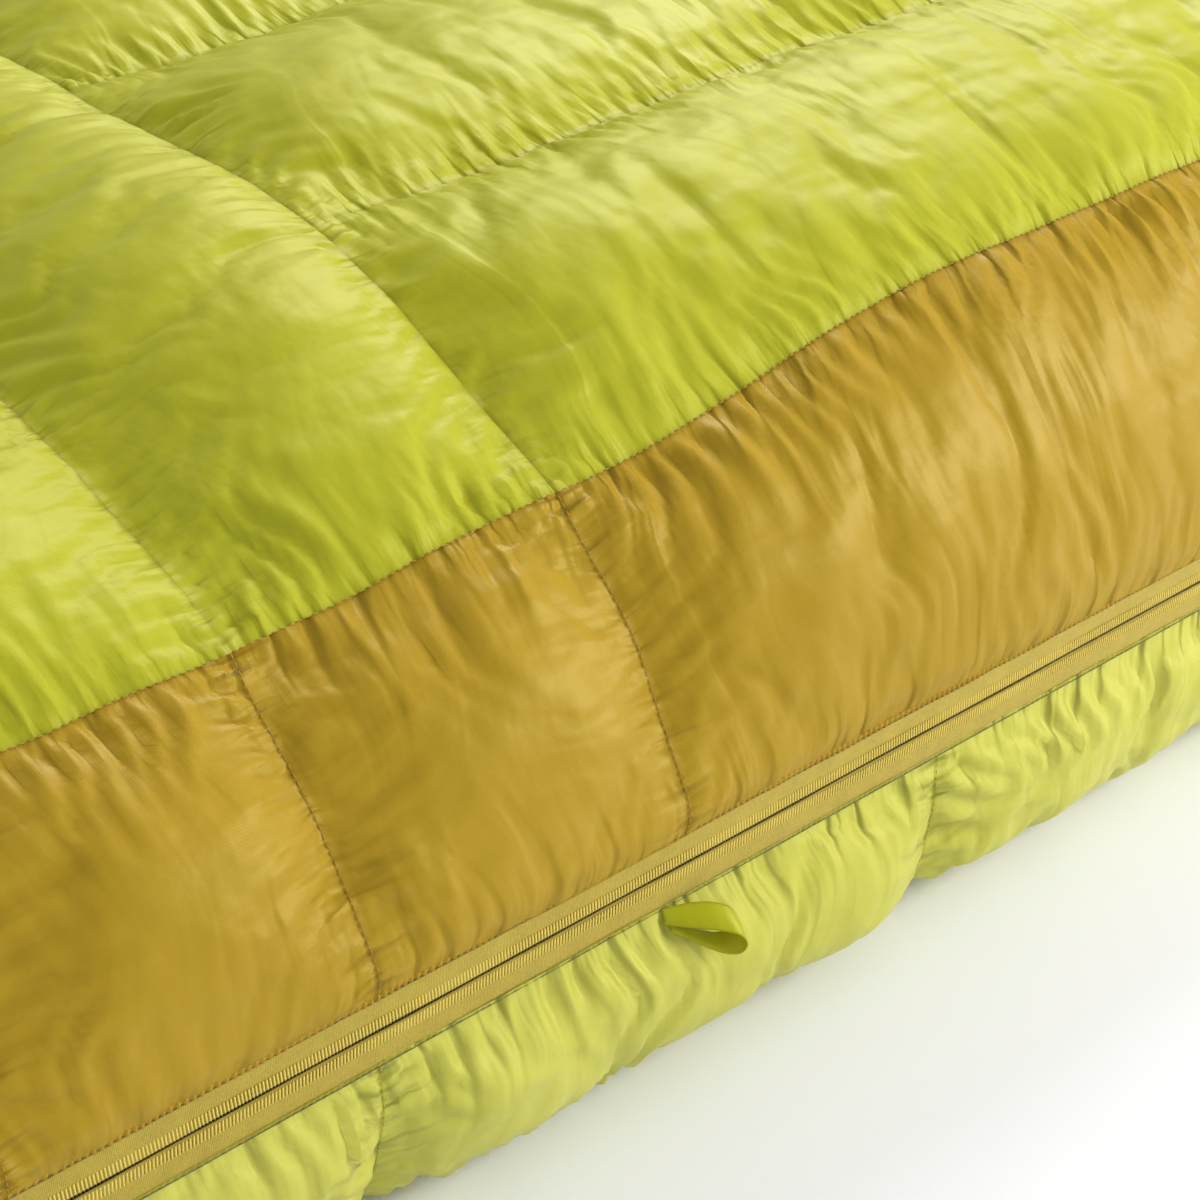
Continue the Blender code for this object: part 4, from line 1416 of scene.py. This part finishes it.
class Thread:
    """Collects stitches of one colour into one mesh."""

    def __init__(self):
        self.rows = []

    def add(self, points, normals):
        self.rows.append(stitch_row(points, normals, STITCH_PITCH, STITCH_LENGTH, STITCH_RADIUS))

    def build(self, name, material, body):
        points = np.concatenate(self.rows)
        quads = ring_faces(4, 4) + [(3, 2, 1, 0), (12, 13, 14, 15)]
        faces = np.array(quads)[None] + (np.arange(len(points)) * 16)[:, None, None]
        mesh = bpy.data.meshes.new(name)
        mesh.from_pydata(points.reshape(-1, 3).tolist(), [], faces.reshape(-1, 4).tolist())
        return add_piece(name, mesh, material, body)


def seam_line(surface, first, last, lift=0.0006):
    """World points and normals of a seam between two (u, v) places on a surface."""
    t = np.linspace(0, 1, 400)
    u = first[0] + (last[0] - first[0]) * t
    v = first[1] + (last[1] - first[1]) * t
    small = 1e-3
    points = surface(u, v)
    du = surface(np.minimum(u + small, 1), v) - surface(np.maximum(u - small, 0), v)
    dv = surface(u, v + small) - surface(u, v - small)
    normals = np.cross(du, dv)
    normals /= np.maximum(np.linalg.norm(normals, axis=1, keepdims=True), 1e-12)
    holder = Cloth()
    holder.points = [points]
    settle(holder)
    return holder.points[0] + normals * lift, normals


def make_stitching():
    lime, ochre, base = Thread(), Thread(), Thread()
    for y in LEG_SEAMS:
        lime.add(*seam_line(crown_surface, (0, y), (1, y)))
    for x in CHEST_SEAMS[1:-1]:
        share = crown_share(x)
        lime.add(*seam_line(crown_surface, (share, ZONE_Y), (share, HEAD_Y)))
    stops = band_stops()
    for s in stops[1:-1]:
        ochre.add(*seam_line(band_surface, (0, s), (1, s)))
    for start, end in zip(stops, stops[1:]):
        ochre.add(*seam_line(band_surface, (1, start), (1, end), lift=0.0004))
    for s in base_stops()[1:-1]:
        points, normals = seam_line(base_surface, (0, s), (1, s), lift=0)
        base.add(points - normals * 0.0006, -normals)
    lime.build("crown_stitching", LIME_THREAD, "top_layer")
    ochre.build("band_stitching", OCHRE_THREAD, "top_layer")
    base.build("base_stitching", LIME_THREAD, "base_layer")


# --- Finishes of the trims ---


def woven_tape():
    """Zip tape: a close rib of fine yarns with flecks of olive."""
    material, shader = principled("zip_tape_weave", (0.50, 0.36, 0.06, 1), 0.72, 0.2)
    tree = material.node_tree
    place = tree.nodes.new("ShaderNodeTexCoord").outputs["Object"]
    yarn = tree.nodes.new("ShaderNodeUVMap")
    yarn.uv_map = "cloth"
    split = tree.nodes.new("ShaderNodeSeparateXYZ")
    tree.links.new(yarn.outputs[0], split.inputs[0])
    rib = math_node(tree, "SINE", math_node(tree, "MULTIPLY", split.outputs[0], 2 * math.pi / 0.0006))
    pick = math_node(tree, "SINE", math_node(tree, "MULTIPLY", split.outputs[1], 2 * math.pi / 0.0007))
    weave = math_node(tree, "MULTIPLY", math_node(tree, "ADD", rib, pick), 0.00003)
    fuzz = math_node(tree, "MULTIPLY", noise(tree, place, 1400.0, 3.0), 0.00022)
    raise_surface(tree, shader, math_node(tree, "ADD", weave, fuzz))
    fleck = math_node(tree, "MULTIPLY", noise(tree, place, 900.0, 2.0), noise(tree, place, 120.0, 3.0))
    fleck = math_node(tree, "MULTIPLY", fleck, 2.6)
    tree.links.new(
        mix_colour(tree, fleck, (0.51, 0.38, 0.022, 1), (0.40, 0.29, 0.014, 1)), shader.inputs["Base Color"]
    )
    return material


def worn_metal(name, colour, roughness):
    """Zinc casting with fine scratches and softer shine in the hollows."""
    material, shader = principled(name, colour, roughness, metallic=0.95)
    tree = material.node_tree
    place = tree.nodes.new("ShaderNodeTexCoord").outputs["Object"]
    grain = noise(tree, place, 900.0, 4.0, 0.7)
    broad = noise(tree, place, 160.0, 3.0)
    rough = math_node(tree, "ADD", math_node(tree, "MULTIPLY", grain, 0.22), roughness - 0.10)
    tree.links.new(rough, shader.inputs["Roughness"])
    light = tuple(min(1.0, c * 1.5) for c in colour[:3]) + (1,)
    tree.links.new(mix_colour(tree, broad, colour, light), shader.inputs["Base Color"])
    raise_surface(tree, shader, math_node(tree, "MULTIPLY", grain, 0.00003))
    return material


def speckled(name, first, second, roughness, scale, depth=0.0001, sheen=0.0):
    """A plain finish with slow and fine changes of colour, shine and surface."""
    material, shader = principled(name, first, roughness, sheen)
    tree = material.node_tree
    flecks = tree.nodes.new("ShaderNodeGroup")
    flecks.node_tree = SPECKLE
    flecks.inputs["Scale"].default_value = scale
    flecks.inputs["Depth"].default_value = depth
    flecks.inputs["Shine"].default_value = roughness
    colour = mix_colour(tree, flecks.outputs["Fleck"], first, second)
    tree.links.new(colour, shader.inputs["Base Color"])
    tree.links.new(flecks.outputs["Roughness"], shader.inputs["Roughness"])
    raise_surface(tree, shader, flecks.outputs["Height"])
    return material


LINER = nylon(
    "liner_nylon", (0.33, 0.34, 0.29, 1), (0.26, 0.27, 0.23, 1), (0.12, 0.12, 0.10, 1), 0.48, 0.6, 0.7, 0.5
)
OCHRE_EDGE = nylon(
    "ochre_edge", (0.46, 0.28, 0.018, 1), (0.34, 0.19, 0.010, 1), (0.2, 0.12, 0.01, 1), 0.5, 0.1, 0.5, 0.0,
    OCHRE_SHINE,
)
# Painted shade: a darker, more olive lime than the base's, for the crease where the base is gathered along
# the lower tape.
LIME_EDGE_SHADE = nylon(
    "lime_edge_shade", (0.42, 0.37, 0.03, 1), (0.32, 0.28, 0.02, 1), (0.2, 0.18, 0.01, 1), 0.5, 0.1, 0.5, 0.0,
    LIME_SHINE,
)
RIBBON = nylon(
    "loop_ribbon", (0.44, 0.44, 0.012, 1), (0.36, 0.36, 0.010, 1), (0.3, 0.29, 0.01, 1), 0.36, 0.1, 0.15, 0.0,
    LIME_SHINE,
)
TAPE = woven_tape()
THREAD = speckled("tape_thread", (0.86, 0.70, 0.16, 1), (0.70, 0.53, 0.08, 1), 0.6, 700.0)
LIME_THREAD = speckled("lime_thread", (0.48, 0.47, 0.03, 1), (0.38, 0.37, 0.02, 1), 0.6, 500.0)
OCHRE_THREAD = speckled("ochre_thread", (0.46, 0.30, 0.02, 1), (0.36, 0.22, 0.01, 1), 0.6, 500.0)
COIL = speckled("zip_coil", (0.45, 0.33, 0.07, 1), (0.30, 0.21, 0.04, 1), 0.4, 600.0)
NETTING = speckled("baffle_netting", (0.72, 0.72, 0.70, 1), (0.50, 0.50, 0.48, 1), 0.85, 1500.0)
DOWN = speckled("down", (0.82, 0.81, 0.77, 1), (0.64, 0.62, 0.57, 1), 0.95, 260.0, 0.0012, 0.3)
SLIDER = worn_metal("slider_zinc", (0.20, 0.20, 0.21, 1), 0.36)
PULL = worn_metal("pull_zinc", (0.34, 0.34, 0.35, 1), 0.30)


def paint_carried(node, material):
    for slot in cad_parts[node].material_slots:
        slot.material = material


def make_all():
    make_side_band()
    make_leg_crown()
    make_chest_crown()
    make_base_side()
    make_top_head_wall()
    make_base_head_wall()
    make_flat_pieces()
    make_insides()
    make_tapes()
    make_gathers()
    make_draft_tube()
    make_fold_gusset()
    make_pad_loop("pad_loop_zip", 1)
    make_pad_loop("pad_loop_fold", -1)
    make_stitching()
    for node in ("slider_body", "upper_stop", "lower_stop"):
        paint_carried(node, SLIDER)
    for node in ("outer_pull", "inner_pull"):
        paint_carried(node, PULL)


make_all()

# --- Stage, lights and camera ---


def add_area(name, place, aim, size, power, colour=(1, 1, 1)):
    light = bpy.data.lights.new(name, "AREA")
    light.shape = "DISK"
    light.size = size
    light.energy = power
    light.color = colour
    lamp = bpy.data.objects.new(name, light)
    lamp.location = place
    lamp.rotation_euler = (Vector(aim) - Vector(place)).to_track_quat("-Z", "Y").to_euler()
    bpy.context.scene.collection.objects.link(lamp)


def make_stage():
    mesh = bpy.data.meshes.new("floor")
    reach = 9.0
    corners = [(-reach, -reach, 0), (reach, -reach, 0), (reach, reach, 0), (-reach, reach, 0)]
    mesh.from_pydata(corners, [], [(0, 1, 2, 3)])
    floor = bpy.data.objects.new("floor", mesh)
    bpy.context.scene.collection.objects.link(floor)
    material, _ = principled("pale_floor", (0.94, 0.95, 1.0, 1), 0.85, specular=0.1)
    mesh.materials.append(material)
    world = bpy.data.worlds.new("studio")
    world.use_nodes = True
    world.node_tree.nodes["Background"].inputs["Color"].default_value = (0.95, 0.97, 1.0, 1)
    world.node_tree.nodes["Background"].inputs["Strength"].default_value = 0.66
    bpy.context.scene.world = world
    add_area("key", (-0.9, 1.5, 1.7), (0.2, 0.1, 0.1), 1.1, 33, (1, 0.98, 0.94))
    add_area("side", (1.45, 1.45, 0.9), (0.35, 0.25, 0.05), 0.9, 30)


def make_camera():
    data = bpy.data.cameras.new("camera")
    data.lens = 76.7
    data.sensor_width = 36
    data.clip_start = 0.02
    camera = bpy.data.objects.new("camera", data)
    place = Vector((0.875, -0.529, 0.636))
    forward = Vector((-0.640, 0.556, -0.5255))
    camera.location = place
    camera.rotation_euler = forward.to_track_quat("-Z", "Y").to_euler()
    bpy.context.scene.collection.objects.link(camera)
    bpy.context.scene.camera = camera


make_stage()
make_camera()
bpy.context.scene.view_settings.view_transform = "Standard"
